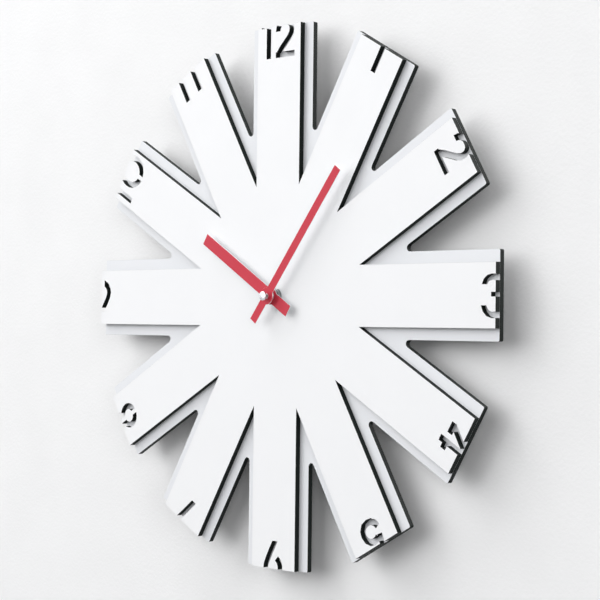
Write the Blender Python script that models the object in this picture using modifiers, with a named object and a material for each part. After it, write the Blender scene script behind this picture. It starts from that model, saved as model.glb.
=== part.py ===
"""A wall clock: two stacked twelve-armed plates, stencil numerals cut through the front one, flat bar hands
and a square quartz movement on the back.

Metres, +Z up. The dial faces -Y and the origin is on the hands' axis, on the back of the movement, where the
clock touches the wall. Everything is laid out in a bench frame first: local X to the right, local Y up and
local Z towards the reader, counted from the wall. One empty turns that bench frame upright.
"""

import math

import bmesh
import bpy
import numpy as np
from mathutils import Matrix, Vector

# Plates
arm_count = 12
dial_radius = 0.2000
dial_arm_width = 0.0436
backing_arm_width = 0.0608
backing_notch_radius = 0.0026
backing_corner_radius = 0.0012
dial_core_thickness = 0.0042
backing_core_thickness = 0.0039
laminate_thickness = 0.0002
laminate_gap = 0.0001
board_gap = 0.0002
corner_steps = 3
notch_steps = 4
drawing_turn = math.radians(4)

# Numerals, cut as stencils and clipped by the ends of the arms
digit_height_share = 0.660
stem_stroke_share = 0.156
curve_stroke_share = 0.160
bar_stroke_share = 0.142
thin_stroke_share = 0.104
bridge_share = 0.125

# Fastening through the plates
seat_gap = 0.0002
bush_wall = 0.00135
bush_hole_clearance = 0.0003
bush_past_nut = 0.0005
rubber_washer_width = 0.0052
rubber_washer_thickness = 0.0008
dial_washer_width = 0.0016
dial_washer_thickness = 0.0005
nut_width = 0.0021
nut_thickness = 0.0020
nut_sides = 6

# Movement case
case_size = 0.0560
case_depth = 0.0160
case_corner_radius = 0.0040
case_wall = 0.0014
front_wall = 0.0015
cover_thickness = 0.0014
cover_gap = 0.0003
hanger_width = 0.0200
hanger_rise = 0.0090
hanger_corner_radius = 0.0040
nail_slot_width = 0.0064
nail_slot_height = 0.0050
nail_slot_radius = 0.0018

# Battery and its springs; the cell fills its bay but for these gaps
battery_end_gap = 0.0021
battery_gap = 0.0004
battery_rear_gap = 0.0001
battery_nub_radius = 0.0027
battery_nub_length = 0.0012
battery_edge_radius = 0.0005
spring_thickness = 0.0003
spring_width = 0.0060
spring_foot_share = 0.75
spring_bend_share = 0.60

# Gear train; the modules are shares of the case size, so that the train fills the case
wheel_thickness = 0.0011
pinion_reach = 0.0019
post_radius = 0.00030
running_clearance = 0.00010
post_sides = 10
addendum_share = 0.80
dedendum_share = 1.15
pinion_addendum_share = 0.70
root_half_share = 0.32
tip_half_share = 0.10
pinion_root_half_share = 0.27
pinion_tip_half_share = 0.12
rotor_teeth = 8
fifth_teeth = 48
fifth_pinion_teeth = 8
seconds_teeth = 40
seconds_pinion_teeth = 6
third_teeth = 45
third_pinion_teeth = 6
centre_teeth = 48
cannon_teeth = 12
motion_teeth = 36
motion_pinion_teeth = 10
hour_teeth = 40
set_teeth = 24
rotor_module_share = 0.003930
seconds_module_share = 0.005715
third_module_share = 0.005360
motion_module_share = 0.006250
third_bearing = math.radians(35)
fifth_bearing = math.radians(160)
rotor_bearing = math.radians(95)
motion_bearing = 0.0
set_bearing = 0.0
wheel_hole_count = 4
wheel_hole_place_share = 0.60
wheel_hole_share = 0.17

# Stepping motor and electronics
magnet_radius = 0.0022
magnet_thickness = 0.0034
stator_thickness = 0.0010
stator_leg_width = 0.0030
stator_bar_height = 0.0085
stator_air_gap = 0.0005
coil_top_gap = 0.0030
coil_length_share = 0.30
coil_radius = 0.0031
coil_core_width = 0.0014
coil_core_thickness = 0.0010
coil_flange_thickness = 0.0010
coil_winding_radius = 0.0026
coil_bore_radius = 0.0011
board_thickness = 0.0010
board_stator_gap = 0.0032
board_wheel_gap = 0.0018
board_edge_gap = 0.0026
board_corner_radius = 0.0008
crystal_radius = 0.0010
crystal_length = 0.0060
pillar_radius = 0.0011

# Arbors and hands
cannon_pinion_wall = 0.0001
arbor_flange_width = 0.0010
arbor_flange_thickness = 0.0005
arbor_tip_radius = 0.0006
hour_pipe_wall = 0.00075
hand_thickness = 0.0005
hour_hand_height = 0.0053
minute_hand_height = 0.0095
hour_reach = 0.0832
hour_tail = 0.0210
hour_width = 0.0091
minute_reach = 0.1135
minute_tail = 0.0232
minute_width = 0.0066
hand_eye_radius = 0.0062
hour_angle = math.radians(301.9)
minute_angle = math.radians(37.3)
collet_wall = 0.0006
collet_lip = 0.0004
hour_collet_length = 0.0013
minute_collet_length = 0.0020
cap_neck_wall = 0.0003
cap_head_radius = 0.00345
cap_neck_height = 0.0018
cap_head_height = 0.0024
cap_dome_share = 0.40

# Setting knob
knob_radius_share = 0.093
knob_thickness = 0.0020
knob_inset = 0.0005
knob_grip_count = 16
knob_grip_turn_share = 0.25
knob_grip_depth = 0.0004
knob_shaft_radius = 0.0010
well_clearance = 0.0005
well_wall = 0.0006

# Faceting and cutting
round_sides = 28
small_sides = 16
hole_sides = 8
overrun = 0.0010
merge_distance = 0.000001
numeral_arc_steps = 10

# Sizes that follow from the case and the arms
digit_height = dial_arm_width * digit_height_share
stem_stroke = digit_height * stem_stroke_share
curve_stroke = digit_height * curve_stroke_share
bar_stroke = digit_height * bar_stroke_share
thin_stroke = digit_height * thin_stroke_share
bridge_width = digit_height * bridge_share
rotor_module = case_size * rotor_module_share
seconds_module = case_size * seconds_module_share
third_module = case_size * third_module_share
motion_module = case_size * motion_module_share
coil_length = case_size * coil_length_share
knob_radius = case_size * knob_radius_share
battery_length = case_size - 2 * (case_wall + battery_end_gap)
battery_radius = (case_depth - front_wall - battery_gap - battery_rear_gap) / 2
minute_arbor_radius = motion_module * (cannon_teeth / 2 - dedendum_share) - cannon_pinion_wall
arbor_flange_radius = minute_arbor_radius + arbor_flange_width
hour_pipe_bore_radius = minute_arbor_radius + running_clearance
hour_pipe_radius = hour_pipe_bore_radius + hour_pipe_wall
bush_bore_radius = hour_pipe_radius + running_clearance
bush_radius = bush_bore_radius + bush_wall
bush_hole_radius = bush_radius + bush_hole_clearance

# Heights above the wall, from the back of the case to the tip of the cap nut
case_front = case_depth
case_inner_front = case_depth - front_wall
rubber_low = case_front + seat_gap
rubber_high = rubber_low + rubber_washer_thickness
backing_low = rubber_high + seat_gap
backing_high = backing_low + backing_core_thickness
backing_face_low = backing_high + laminate_gap
backing_face_high = backing_face_low + laminate_thickness
dial_low = backing_face_high + board_gap
dial_high = dial_low + dial_core_thickness
dial_face_low = dial_high + laminate_gap
dial_face_high = dial_face_low + laminate_thickness
washer_low = dial_face_high + seat_gap
washer_high = washer_low + dial_washer_thickness
nut_low = washer_high + seat_gap
nut_high = nut_low + nut_thickness
bush_high = nut_high + bush_past_nut
hour_blade_low = dial_face_high + hour_hand_height
hour_blade_high = hour_blade_low + hand_thickness
minute_blade_low = dial_face_high + minute_hand_height
minute_blade_high = minute_blade_low + hand_thickness

seconds_low = cover_thickness + wheel_thickness
seconds_high = seconds_low + wheel_thickness
seconds_pinion_high = seconds_high + pinion_reach
third_low = seconds_high + 2 * seat_gap
third_high = third_low + wheel_thickness
fifth_pinion_low = seconds_low - seat_gap
fifth_low = seconds_high + 3 * seat_gap
fifth_high = fifth_low + wheel_thickness
rotor_pinion_low = fifth_low - 2 * seat_gap
rotor_pinion_high = fifth_high + 2 * seat_gap
magnet_low = rotor_pinion_high + wheel_thickness / 2
magnet_high = magnet_low + magnet_thickness
arbor_low = seconds_pinion_high + 3 * seat_gap
arbor_flange_high = arbor_low + arbor_flange_thickness
centre_low = arbor_flange_high + seat_gap
centre_high = centre_low + wheel_thickness
third_pinion_high = centre_high + seat_gap
cannon_low = centre_high + 2 * seat_gap
cannon_high = cannon_low + wheel_thickness + 2 * seat_gap
motion_low = cannon_low + seat_gap
motion_high = motion_low + wheel_thickness
hour_wheel_low = cannon_high + 3 * seat_gap
hour_wheel_high = hour_wheel_low + wheel_thickness
motion_pinion_high = hour_wheel_high + seat_gap
stator_low = third_pinion_high + seat_gap
stator_high = stator_low + stator_thickness
coil_core_low = stator_high + seat_gap
coil_core_high = coil_core_low + coil_core_thickness
coil_level = (coil_core_low + coil_core_high) / 2
board_low = hour_wheel_low + seat_gap
board_high = board_low + board_thickness

# Places of the arbors, seen from the front
third_distance = third_module * (seconds_pinion_teeth + third_teeth) / 2
centre_module = 2 * third_distance / (third_pinion_teeth + centre_teeth)
fifth_distance = seconds_module * (fifth_pinion_teeth + seconds_teeth) / 2
rotor_distance = rotor_module * (rotor_teeth + fifth_teeth) / 2
motion_distance = motion_module * (cannon_teeth + motion_teeth) / 2
hour_module = 2 * motion_distance / (motion_pinion_teeth + hour_teeth)
set_distance = motion_module * (motion_teeth + set_teeth) / 2


def polar(distance, bearing):
    """A place at a distance and a bearing, counted from +X towards +Y."""
    return (distance * math.cos(bearing), distance * math.sin(bearing))


def shifted(place, step):
    """A place moved by a step."""
    return (place[0] + step[0], place[1] + step[1])


centre_place = (0, 0)
third_place = polar(third_distance, third_bearing)
fifth_place = polar(fifth_distance, fifth_bearing)
rotor_place = shifted(fifth_place, polar(rotor_distance, rotor_bearing))
motion_place = polar(motion_distance, motion_bearing)
set_place = shifted(motion_place, polar(set_distance, set_bearing))

# The battery bay fills the bottom of the case, and the train has the room above it
case_half = case_size / 2
bay_low = -case_half + case_wall
bay_high = bay_low + 2 * (battery_radius + battery_gap)
train_low = bay_high + case_wall
train_high = case_half - case_wall
inner_half = case_half - case_wall
battery_axis = (bay_low + bay_high) / 2
battery_level = case_inner_front - battery_gap - battery_radius
coil_height = train_high - coil_top_gap - coil_radius
knob_low = knob_inset
knob_high = knob_low + knob_thickness
well_low = knob_high + well_clearance
well_high = well_low + well_wall
well_radius = knob_radius + well_clearance


# Scene and materials


def clear_scene():
    """Empties the scene that the script finds."""
    for obj in list(bpy.data.objects):
        bpy.data.objects.remove(obj, do_unlink=True)


def new_collection(name):
    """A collection linked to the scene."""
    collection = bpy.data.collections.new(name)
    bpy.context.scene.collection.children.link(collection)
    return collection


def material(name, colour, roughness, metallic=0.0):
    """A plain Principled material."""
    found = bpy.data.materials.new(name)
    found.use_nodes = True
    shader = found.node_tree.nodes["Principled BSDF"]
    shader.inputs["Base Color"].default_value = (*colour, 1.0)
    shader.inputs["Roughness"].default_value = roughness
    shader.inputs["Metallic"].default_value = metallic
    return found


clear_scene()
clock_parts = new_collection("wall_clock")
clock_cutters = new_collection("cutters")

black_edge = material("black_edge", (0.012, 0.014, 0.013), 0.6)
white_laminate = material("white_laminate", (0.86, 0.86, 0.87), 0.5)
grey_laminate = material("grey_laminate", (0.72, 0.74, 0.77), 0.5)
red_paint = material("red_paint", (0.60, 0.06, 0.09), 0.45)
black_plastic = material("black_plastic", (0.02, 0.02, 0.022), 0.5)
dark_plastic = material("dark_plastic", (0.05, 0.05, 0.055), 0.45)
white_plastic = material("white_plastic", (0.80, 0.80, 0.76), 0.4)
natural_plastic = material("natural_plastic", (0.70, 0.66, 0.55), 0.4)
rubber = material("rubber", (0.03, 0.03, 0.03), 0.8)
brass = material("brass", (0.70, 0.52, 0.25), 0.35, 1.0)
steel = material("steel", (0.62, 0.62, 0.63), 0.35, 1.0)
chrome = material("chrome", (0.85, 0.86, 0.87), 0.12, 1.0)
aluminium = material("aluminium", (0.78, 0.79, 0.80), 0.35, 1.0)
copper = material("copper", (0.62, 0.26, 0.12), 0.35, 1.0)
circuit_green = material("circuit_green", (0.03, 0.16, 0.07), 0.45)
battery_sleeve = material("battery_sleeve", (0.10, 0.11, 0.13), 0.35)


# Shape helpers


def upright_frame():
    """The empty that turns the bench frame upright, with the dial facing -Y."""
    frame = bpy.data.objects.new("clock_frame", None)
    clock_parts.objects.link(frame)
    frame.rotation_euler = (math.pi / 2, 0, 0)
    return frame


clock_frame = upright_frame()


def axis_empty(name, place):
    """An empty on a joint's axis, whose pieces turn with it."""
    empty = bpy.data.objects.new(name, None)
    clock_parts.objects.link(empty)
    empty.parent = clock_frame
    empty.location = (*place, 0)
    return empty


def finish(obj, finish_material, parent, smooth=False):
    """Gives a piece its material and parent."""
    obj.data.materials.clear()
    obj.data.materials.append(finish_material)
    obj.parent = parent
    if smooth:
        obj.data.shade_smooth()
        obj.data.set_sharp_from_angle(angle=math.radians(35))
    return obj


def as_cutter(obj, parent=None):
    """Hides a shape that only cuts or joins others."""
    obj.parent = parent or clock_frame
    obj.hide_render = True
    obj.display_type = "WIRE"
    return obj


def curve_object(name, outlines, low, high, collection):
    """Flat outlines raised from one height to another; an outline inside another is a hole."""
    curve = bpy.data.curves.new(name, "CURVE")
    curve.dimensions = "2D"
    curve.fill_mode = "BOTH"
    curve.extrude = (high - low) / 2
    curve.render_resolution_u = 0
    for outline in outlines:
        spline = curve.splines.new("POLY")
        spline.points.add(len(outline) - 1)
        for point, (x, y) in zip(spline.points, outline):
            point.co = (x, y, 0, 1)
        spline.use_cyclic_u = True
    obj = bpy.data.objects.new(name, curve)
    collection.objects.link(obj)
    obj.location = (0, 0, (low + high) / 2)
    return obj


def flat_piece(name, outlines, low, high, finish_material, parent):
    """A sheet or plate that no other shape cuts."""
    obj = curve_object(name, outlines, low, high, clock_parts)
    return finish(obj, finish_material, parent)


def turned_outlines(outlines, angle):
    """The same outlines turned about the origin."""
    turn = Matrix.Rotation(angle, 2)
    return [[tuple(turn @ Vector(point)) for point in outline] for outline in outlines]


def flat_mesh(name, outlines, low, high, collection):
    """The same as a closed mesh, for pieces that are cut and for the cutters themselves.

    Corners that lie level with each other can spoil the fill of an outline, so it is drawn turned a little,
    and the piece is turned back.
    """
    drawn = turned_outlines(outlines, drawing_turn)
    source = curve_object(name + "_outline", drawn, low, high, collection)
    source.rotation_euler = (0, 0, -drawing_turn)
    bpy.context.view_layer.update()
    depsgraph = bpy.context.evaluated_depsgraph_get()
    mesh = bpy.data.meshes.new_from_object(source.evaluated_get(depsgraph))
    work = bmesh.new()
    work.from_mesh(mesh)
    bmesh.ops.remove_doubles(work, verts=work.verts, dist=merge_distance)
    bmesh.ops.recalc_face_normals(work, faces=work.faces)
    work.to_mesh(mesh)
    work.free()
    obj = bpy.data.objects.new(name, mesh)
    obj.matrix_world = source.matrix_world
    collection.objects.link(obj)
    bpy.data.objects.remove(source, do_unlink=True)
    return obj


def turned_mesh(name, profile, closed, collection, sides=round_sides):
    """A profile of (radius, height) points, from the front down the outer side, turned about the axis."""
    work = bmesh.new()
    verts = [work.verts.new((radius, 0, height)) for radius, height in profile]
    for start, end in zip(verts, verts[1:]):
        work.edges.new((start, end))
    if closed:
        work.edges.new((verts[-1], verts[0]))
    mesh = bpy.data.meshes.new(name)
    work.to_mesh(mesh)
    work.free()
    obj = bpy.data.objects.new(name, mesh)
    collection.objects.link(obj)
    screw = obj.modifiers.new("turn", "SCREW")
    screw.axis = "Z"
    screw.angle = 2 * math.pi
    screw.steps = sides
    screw.render_steps = sides
    screw.use_merge_vertices = True
    screw.merge_threshold = merge_distance
    return obj


def turned_piece(name, profile, closed, finish_material, parent, sides=round_sides):
    """A turned piece of the clock."""
    obj = turned_mesh(name, profile, closed, clock_parts, sides)
    finish(obj, finish_material, parent)
    obj.modifiers["turn"].use_smooth_shade = True
    return obj


def cylinders(name, rods, parent=None, sides=small_sides):
    """Separate upright rods, each (place, radius, low, high), as one shape for a Boolean."""
    work = bmesh.new()
    for place, radius, low, high in rods:
        spot = Matrix.Translation((*place, (low + high) / 2))
        bmesh.ops.create_cone(
            work, cap_ends=True, segments=sides, radius1=radius, radius2=radius, depth=high - low, matrix=spot
        )
    mesh = bpy.data.meshes.new(name)
    work.to_mesh(mesh)
    work.free()
    obj = bpy.data.objects.new(name, mesh)
    clock_cutters.objects.link(obj)
    return as_cutter(obj, parent)


def boolean(obj, other, operation):
    """Cuts a piece by another shape, or joins the two."""
    step = obj.modifiers.new(other.name, "BOOLEAN")
    step.operation = operation
    step.solver = "EXACT"
    step.object = other


def rounded(points, radii, steps):
    """Rounds the corners of a closed outline, each with its own radius; a radius of zero stays sharp."""
    result = []
    count = len(points)
    for index, point in enumerate(points):
        radius = radii[index]
        corner = Vector(point)
        if radius == 0:
            result.append((corner.x, corner.y))
            continue
        back = (Vector(points[index - 1]) - corner).normalized()
        ahead = (Vector(points[(index + 1) % count]) - corner).normalized()
        half = back.angle(ahead) / 2
        reach = radius / math.tan(half)
        middle = corner + (back + ahead).normalized() * radius / math.sin(half)
        start = corner + back * reach - middle
        end = corner + ahead * reach - middle
        sweep = start.angle_signed(end)
        for step in range(steps + 1):
            turn = -sweep * step / steps
            spoke = Matrix.Rotation(turn, 2) @ start
            result.append((middle.x + spoke.x, middle.y + spoke.y))
    return result


def rectangle(left, right, low, high, radius=0.0, steps=corner_steps):
    """A rectangle's outline, with rounded corners where a radius is given."""
    corners = [(left, low), (right, low), (right, high), (left, high)]
    return rounded(corners, [radius] * len(corners), steps)


def circle(radius, place=(0, 0), sides=round_sides):
    """A circle's outline."""
    angles = [2 * math.pi * step / sides for step in range(sides)]
    return [(place[0] + radius * math.cos(angle), place[1] + radius * math.sin(angle)) for angle in angles]


def across(ahead, cut):
    """The sideways step that keeps a stroke's width, square to its path or along a given cut."""
    normal = Vector((-ahead.y, ahead.x)).normalized()
    if cut is None:
        return normal
    side = Vector(cut).normalized()
    return side / side.dot(normal)


def ribbon(path, width, start_cut=None, end_cut=None):
    """The outline of a stroke of even width along a path, whose ends may be cut along a direction."""
    points = [Vector(point) for point in path]
    left = []
    right = []
    for index, point in enumerate(points):
        first = points[max(index - 1, 0)]
        last = points[min(index + 1, len(points) - 1)]
        if 0 < index < len(points) - 1:
            before = (point - first).normalized()
            after = (last - point).normalized()
            ahead = before + after
            side = across(ahead, None) / math.cos(before.angle(after) / 2)
        else:
            side = across(last - first, start_cut if index == 0 else end_cut)
        left.append(point + side * width / 2)
        right.append(point - side * width / 2)
    return [(point.x, point.y) for point in left + right[::-1]]


def arc(centre, radii, start, end, steps):
    """Points along part of an ellipse, between two angles counted from +X towards +Y."""
    angles = np.linspace(start, end, steps + 1)
    return [(centre[0] + radii[0] * math.cos(angle), centre[1] + radii[1] * math.sin(angle)) for angle in angles]


# Plates and numerals


def arm_direction(index):
    """The outward direction of an arm; arm 0 points to twelve and the rest follow clockwise."""
    angle = 2 * math.pi * index / arm_count
    return Vector((math.sin(angle), math.cos(angle)))


def star_outline(arm_width, notch_radius, corner_radius):
    """Twelve square-ended arms of even width with a notch between each two."""
    points = []
    radii = []
    half_gap = math.pi / arm_count
    for index in range(arm_count):
        out = arm_direction(index)
        side = Vector((out.y, -out.x))
        for sign in (-1, 1):
            corner = out * dial_radius + side * sign * arm_width / 2
            points.append((corner.x, corner.y))
            radii.append(corner_radius)
        notch = arm_direction(index + 0.5) * arm_width / 2 / math.sin(half_gap)
        points.append((notch.x, notch.y))
        radii.append(notch_radius)
    return rounded(points, radii, notch_steps)


def bush_hole():
    """The hole that the threaded bush passes through."""
    return circle(bush_hole_radius)


# Each numeral is drawn in its own frame in shares of the digit height, with its foot on the base line, and its
# place share is the foot's place from the middle of the arm's end, sideways and outwards.
one_flag_share = ((-0.259, 0.870), (0.0, 0.870))
two_base_share = ((-0.330, 0.071), (0.330, 0.071))
two_curve_share = (
    (-0.259, 0.674), (-0.240, 0.764), (-0.174, 0.861), (-0.076, 0.913), (0.021, 0.920), (0.132, 0.889),
    (0.205, 0.819), (0.233, 0.722), (0.219, 0.615), (0.146, 0.500), (0.017, 0.372), (-0.134, 0.222),
    (-0.250, 0.076),
)
three_top_share = ((-0.316, 0.250), (-0.278, 0.333), (-0.205, 0.392), (-0.111, 0.417), (0.0, 0.413), (0.12, 0.38))
three_nub_share = ((-0.125, 0.021), (0.10, 0.021))
three_foot_share = (
    (-0.337, -0.233), (-0.299, -0.333), (-0.222, -0.413), (-0.115, -0.448), (0.0, -0.448), (0.12, -0.41),
)
four_stem_share = ((0.153, 0.0), (0.153, 1.0))
four_left_bar_share = ((-0.354, 0.203), (-0.069, 0.203))
four_right_bar_share = ((0.153, 0.203), (0.347, 0.203))
four_slope_share = ((-0.288, 0.222), (0.090, 0.833))
five_bowl_share = (
    (-0.267, 0.278), (-0.219, 0.174), (-0.122, 0.101), (0.010, 0.080), (0.146, 0.115), (0.236, 0.215),
    (0.253, 0.326), (0.219, 0.451), (0.125, 0.542), (0.014, 0.569), (-0.097, 0.552), (-0.167, 0.503),
)
five_stem_share = ((-0.240, 0.465), (-0.188, 0.844))
six_slope_share = ((0.061, 0.712), (-0.080, 0.451), (-0.194, 0.226), (-0.250, 0.087), (-0.264, -0.100))
six_bowl_share = ((0.125, 0.278), (0.208, 0.201), (0.250, 0.097), (0.257, -0.100))
seven_slope_share = ((-0.165, 0.0), (0.247, 1.0))
eight_bowl_share = (0.262, 0.245)
eight_bowl_middle_share = 0.321
eight_top_share = (0.184, 0.181)
eight_top_middle_share = 0.747
nine_share = (
    (0.118, 0.396), (0.219, 0.340), (0.292, 0.250), (0.319, 0.139), (0.288, 0.021), (0.205, -0.128),
    (0.087, -0.309), (0.028, -0.396),
)
zero_share = (0.370, 0.420)
zero_middle_share = 0.500


def stem(sideways_share=0.0):
    """A plain upright, which is all that most ones show."""
    return ((sideways_share, 0.0), (sideways_share, 1.0)), stem_stroke, None, None


def half_ring(radii_share, middle_share, side):
    """Half of an oval, left or right, with its ends cut straight beside the stencil bridge."""
    slip = math.asin(bridge_width / 2 / (digit_height * radii_share[0]))
    low = -math.pi / 2 + slip
    high = math.pi / 2 - slip
    points = arc((0, middle_share), radii_share, low, high, numeral_arc_steps)
    path = tuple((side * x, y) for x, y in points)
    return path, curve_stroke, (0, 1), (0, 1)


def numeral_one():
    """A one whose flag only just shows at the arm's end."""
    return [stem(), (one_flag_share, bar_stroke, None, None)]


def numeral_two():
    """A two with a straight base."""
    return [(two_base_share, bar_stroke, None, None), (two_curve_share, curve_stroke, (1, 0), None)]


def numeral_three():
    """The left half of a three: two hooks and the short middle bar."""
    top = (three_top_share, bar_stroke, (1, 0), None)
    nub = (three_nub_share, thin_stroke, None, None)
    foot = (three_foot_share, bar_stroke, (1, 0), None)
    return [top, nub, foot]


def numeral_four():
    """A four with a bridge in its crossbar."""
    upright = (four_stem_share, stem_stroke, None, None)
    left_bar = (four_left_bar_share, stem_stroke, None, None)
    right_bar = (four_right_bar_share, stem_stroke, None, None)
    slope = (four_slope_share, stem_stroke, None, None)
    return [upright, left_bar, right_bar, slope]


def numeral_five():
    """A five with an open bowl."""
    return [(five_bowl_share, curve_stroke, None, None), (five_stem_share, stem_stroke, None, None)]


def numeral_six():
    """The slope and the right shoulder of a six."""
    return [(six_slope_share, curve_stroke, (1, 0), None), (six_bowl_share, curve_stroke, None, None)]


def numeral_seven():
    """The slope of a seven."""
    return [(seven_slope_share, curve_stroke, (1, 0), None)]


def numeral_eight():
    """Two ovals, split by one bridge from top to bottom."""
    rings = []
    for radii, middle in ((eight_bowl_share, eight_bowl_middle_share), (eight_top_share, eight_top_middle_share)):
        rings.append(half_ring(radii, middle, -1))
        rings.append(half_ring(radii, middle, 1))
    return rings


def numeral_nine():
    """The right side and the tail of a nine."""
    return [(nine_share, curve_stroke, (0, 1), (1, 0))]


def numeral_zero():
    """A wide nought with a bridge at its foot."""
    return [half_ring(zero_share, zero_middle_share, -1), half_ring(zero_share, zero_middle_share, 1)]


# Arm, figure, whether it stands upright, and its foot's place share
numerals = (
    (0, numeral_one, True, (-0.366, -0.833)),
    (0, numeral_two, True, (0.220, -0.833)),
    (1, numeral_one, False, (0.042, -0.649)),
    (2, numeral_two, False, (-0.026, -0.833)),
    (3, numeral_three, True, (0.0, 0.0)),
    (4, numeral_four, False, (0.0, -0.642)),
    (5, numeral_five, False, (0.0, -0.688)),
    (6, numeral_six, True, (0.0, 0.0)),
    (7, numeral_seven, False, (0.0, -0.694)),
    (8, numeral_eight, False, (-0.009, -0.684)),
    (9, numeral_nine, True, (0.0, 0.0)),
    (10, numeral_one, False, (-0.523, -0.653)),
    (10, numeral_zero, False, (0.200, -0.743)),
    (11, numeral_one, False, (-0.299, -0.663)),
    (11, numeral_one, False, (0.229, -0.663)),
)


def numeral_outlines():
    """Every stroke of every numeral on the dial, in layers whose strokes don't touch each other."""
    layers = {}
    for order, (arm, figure, upright, place_share) in enumerate(numerals):
        out = arm_direction(arm)
        end = out * dial_radius
        up = Vector((0, 1)) if upright else out
        right = Vector((up.y, -up.x))
        foot = end + (right * place_share[0] + up * place_share[1]) * digit_height
        for level, (path_share, width, start_cut, end_cut) in enumerate(figure()):
            path = [foot + (right * x + up * y) * digit_height for x, y in path_share]
            cuts = [None if cut is None else right * cut[0] + up * cut[1] for cut in (start_cut, end_cut)]
            outline = ribbon(path, width, *cuts)
            layers.setdefault((order % 2, level), []).append(outline)
    return layers


def numeral_cutters():
    """The cutters that pass through the front plate and its laminate."""
    cutters = []
    for (side, level), outlines in sorted(numeral_outlines().items()):
        name = f"numeral_cutter_{side}_{level}"
        cutter = flat_mesh(name, outlines, dial_low - overrun, dial_face_high + overrun, clock_cutters)
        cutters.append(as_cutter(cutter))
    return cutters


def build_plates():
    """The backing and the dial, each a dark core with a thin pale laminate on its front."""
    backing = [star_outline(backing_arm_width, backing_notch_radius, backing_corner_radius), bush_hole()]
    dial = [star_outline(dial_arm_width, 0, 0), bush_hole()]
    flat_piece("backing_core", backing, backing_low, backing_high, black_edge, clock_frame)
    flat_piece("backing_face", backing, backing_face_low, backing_face_high, grey_laminate, clock_frame)
    core = flat_mesh("dial_core", dial, dial_low, dial_high, clock_parts)
    face = flat_mesh("dial_face", dial, dial_face_low, dial_face_high, clock_parts)
    finish(core, black_edge, clock_frame)
    finish(face, white_laminate, clock_frame)
    for cutter in numeral_cutters():
        boolean(core, cutter, "DIFFERENCE")
        boolean(face, cutter, "DIFFERENCE")


# Movement case


def slot_outline():
    """The slot in the hanger that the wall hook goes through."""
    low = case_half + (hanger_rise - nail_slot_height) / 2
    half = nail_slot_width / 2
    return rectangle(-half, half, low, low + nail_slot_height, nail_slot_radius)


def cover_outline():
    """The rear cover above the battery bay, with a hanging tab at the top."""
    half = hanger_width / 2
    top = case_half + hanger_rise
    points = [
        (-case_half, bay_high), (case_half, bay_high), (case_half, case_half), (half, case_half),
        (half, top), (-half, top), (-half, case_half), (-case_half, case_half),
    ]
    radii = [0, 0, case_corner_radius, 0, hanger_corner_radius, hanger_corner_radius, 0, case_corner_radius]
    return rounded(points, radii, corner_steps)


def build_cover():
    """The rear cover: a plate with a hanging tab, a sunk well for the setting knob and posts for the wheels."""
    cover = flat_mesh("movement_cover", [cover_outline(), slot_outline()], 0, cover_thickness, clock_parts)
    finish(cover, black_plastic, clock_frame)
    cup_outer = well_radius + well_wall
    cup = cylinders("well_cup", [(set_place, cup_outer, cover_thickness / 2, well_high)], sides=round_sides)
    well = cylinders("well_cutter", [(set_place, well_radius, -overrun, well_low)], sides=round_sides)
    hole = knob_shaft_radius + running_clearance
    shaft_hole = cylinders("shaft_hole_cutter", [(set_place, hole, 0, well_high + overrun)])
    root = cover_thickness / 2
    posts = [
        (centre_place, post_radius, root, seconds_pinion_high + seat_gap),
        (third_place, post_radius, root, third_pinion_high + seat_gap),
        (fifth_place, post_radius, root, fifth_high + seat_gap),
        (rotor_place, post_radius, root, magnet_high + seat_gap),
    ]
    boolean(cover, cup, "UNION")
    boolean(cover, well, "DIFFERENCE")
    boolean(cover, shaft_hole, "DIFFERENCE")
    boolean(cover, cylinders("cover_posts", posts, sides=post_sides), "UNION")


def build_base():
    """The front shell: a square tray with the battery bay, the threaded bush, and posts and pillars inside."""
    low = cover_thickness + cover_gap
    shell = rectangle(-case_half, case_half, -case_half, case_half, case_corner_radius)
    base = flat_mesh("movement_base", [shell], low, case_front, clock_parts)
    finish(base, black_plastic, clock_frame)
    room_radius = case_corner_radius - case_wall
    train_room = rectangle(-inner_half, inner_half, train_low, train_high, room_radius)
    bay = rectangle(-inner_half, inner_half, bay_low, bay_high, room_radius)
    rooms = flat_mesh("case_rooms", [train_room, bay], low - overrun, case_inner_front, clock_cutters)
    boolean(base, as_cutter(rooms), "DIFFERENCE")
    middle = case_inner_front + front_wall / 2
    bush = cylinders("bush_rod", [(centre_place, bush_radius, middle, bush_high)], sides=round_sides)
    bore_low = case_inner_front - overrun
    bore = cylinders("bush_bore", [(centre_place, bush_bore_radius, bore_low, bush_high + overrun)], sides=round_sides)
    boolean(base, bush, "UNION")
    boolean(base, bore, "DIFFERENCE")
    posts = [
        (motion_place, post_radius, motion_low, middle),
        (set_place, post_radius, motion_low, middle),
    ]
    boolean(base, cylinders("base_posts", posts, sides=post_sides), "UNION")
    pillars = [(place, pillar_radius, stator_high + seat_gap, middle) for place in stator_pillar_places()]
    pillars += [(place, pillar_radius, board_high + seat_gap, middle) for place in board_pillar_places()]
    boolean(base, cylinders("base_pillars", pillars, sides=post_sides), "UNION")


def build_fastening():
    """The rubber washer behind the plates and the steel washer and nut in front of them."""
    hole = bush_hole()
    pad = circle(bush_hole_radius + rubber_washer_width)
    washer = circle(bush_hole_radius + dial_washer_width)
    nut = circle(bush_hole_radius + nut_width, sides=nut_sides)
    flat_piece("rubber_washer", [pad, hole], rubber_low, rubber_high, rubber, clock_frame)
    flat_piece("dial_washer", [washer, hole], washer_low, washer_high, steel, clock_frame)
    flat_piece("dial_nut", [nut, hole], nut_low, nut_high, steel, clock_frame)


# Battery, motor and electronics


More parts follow.
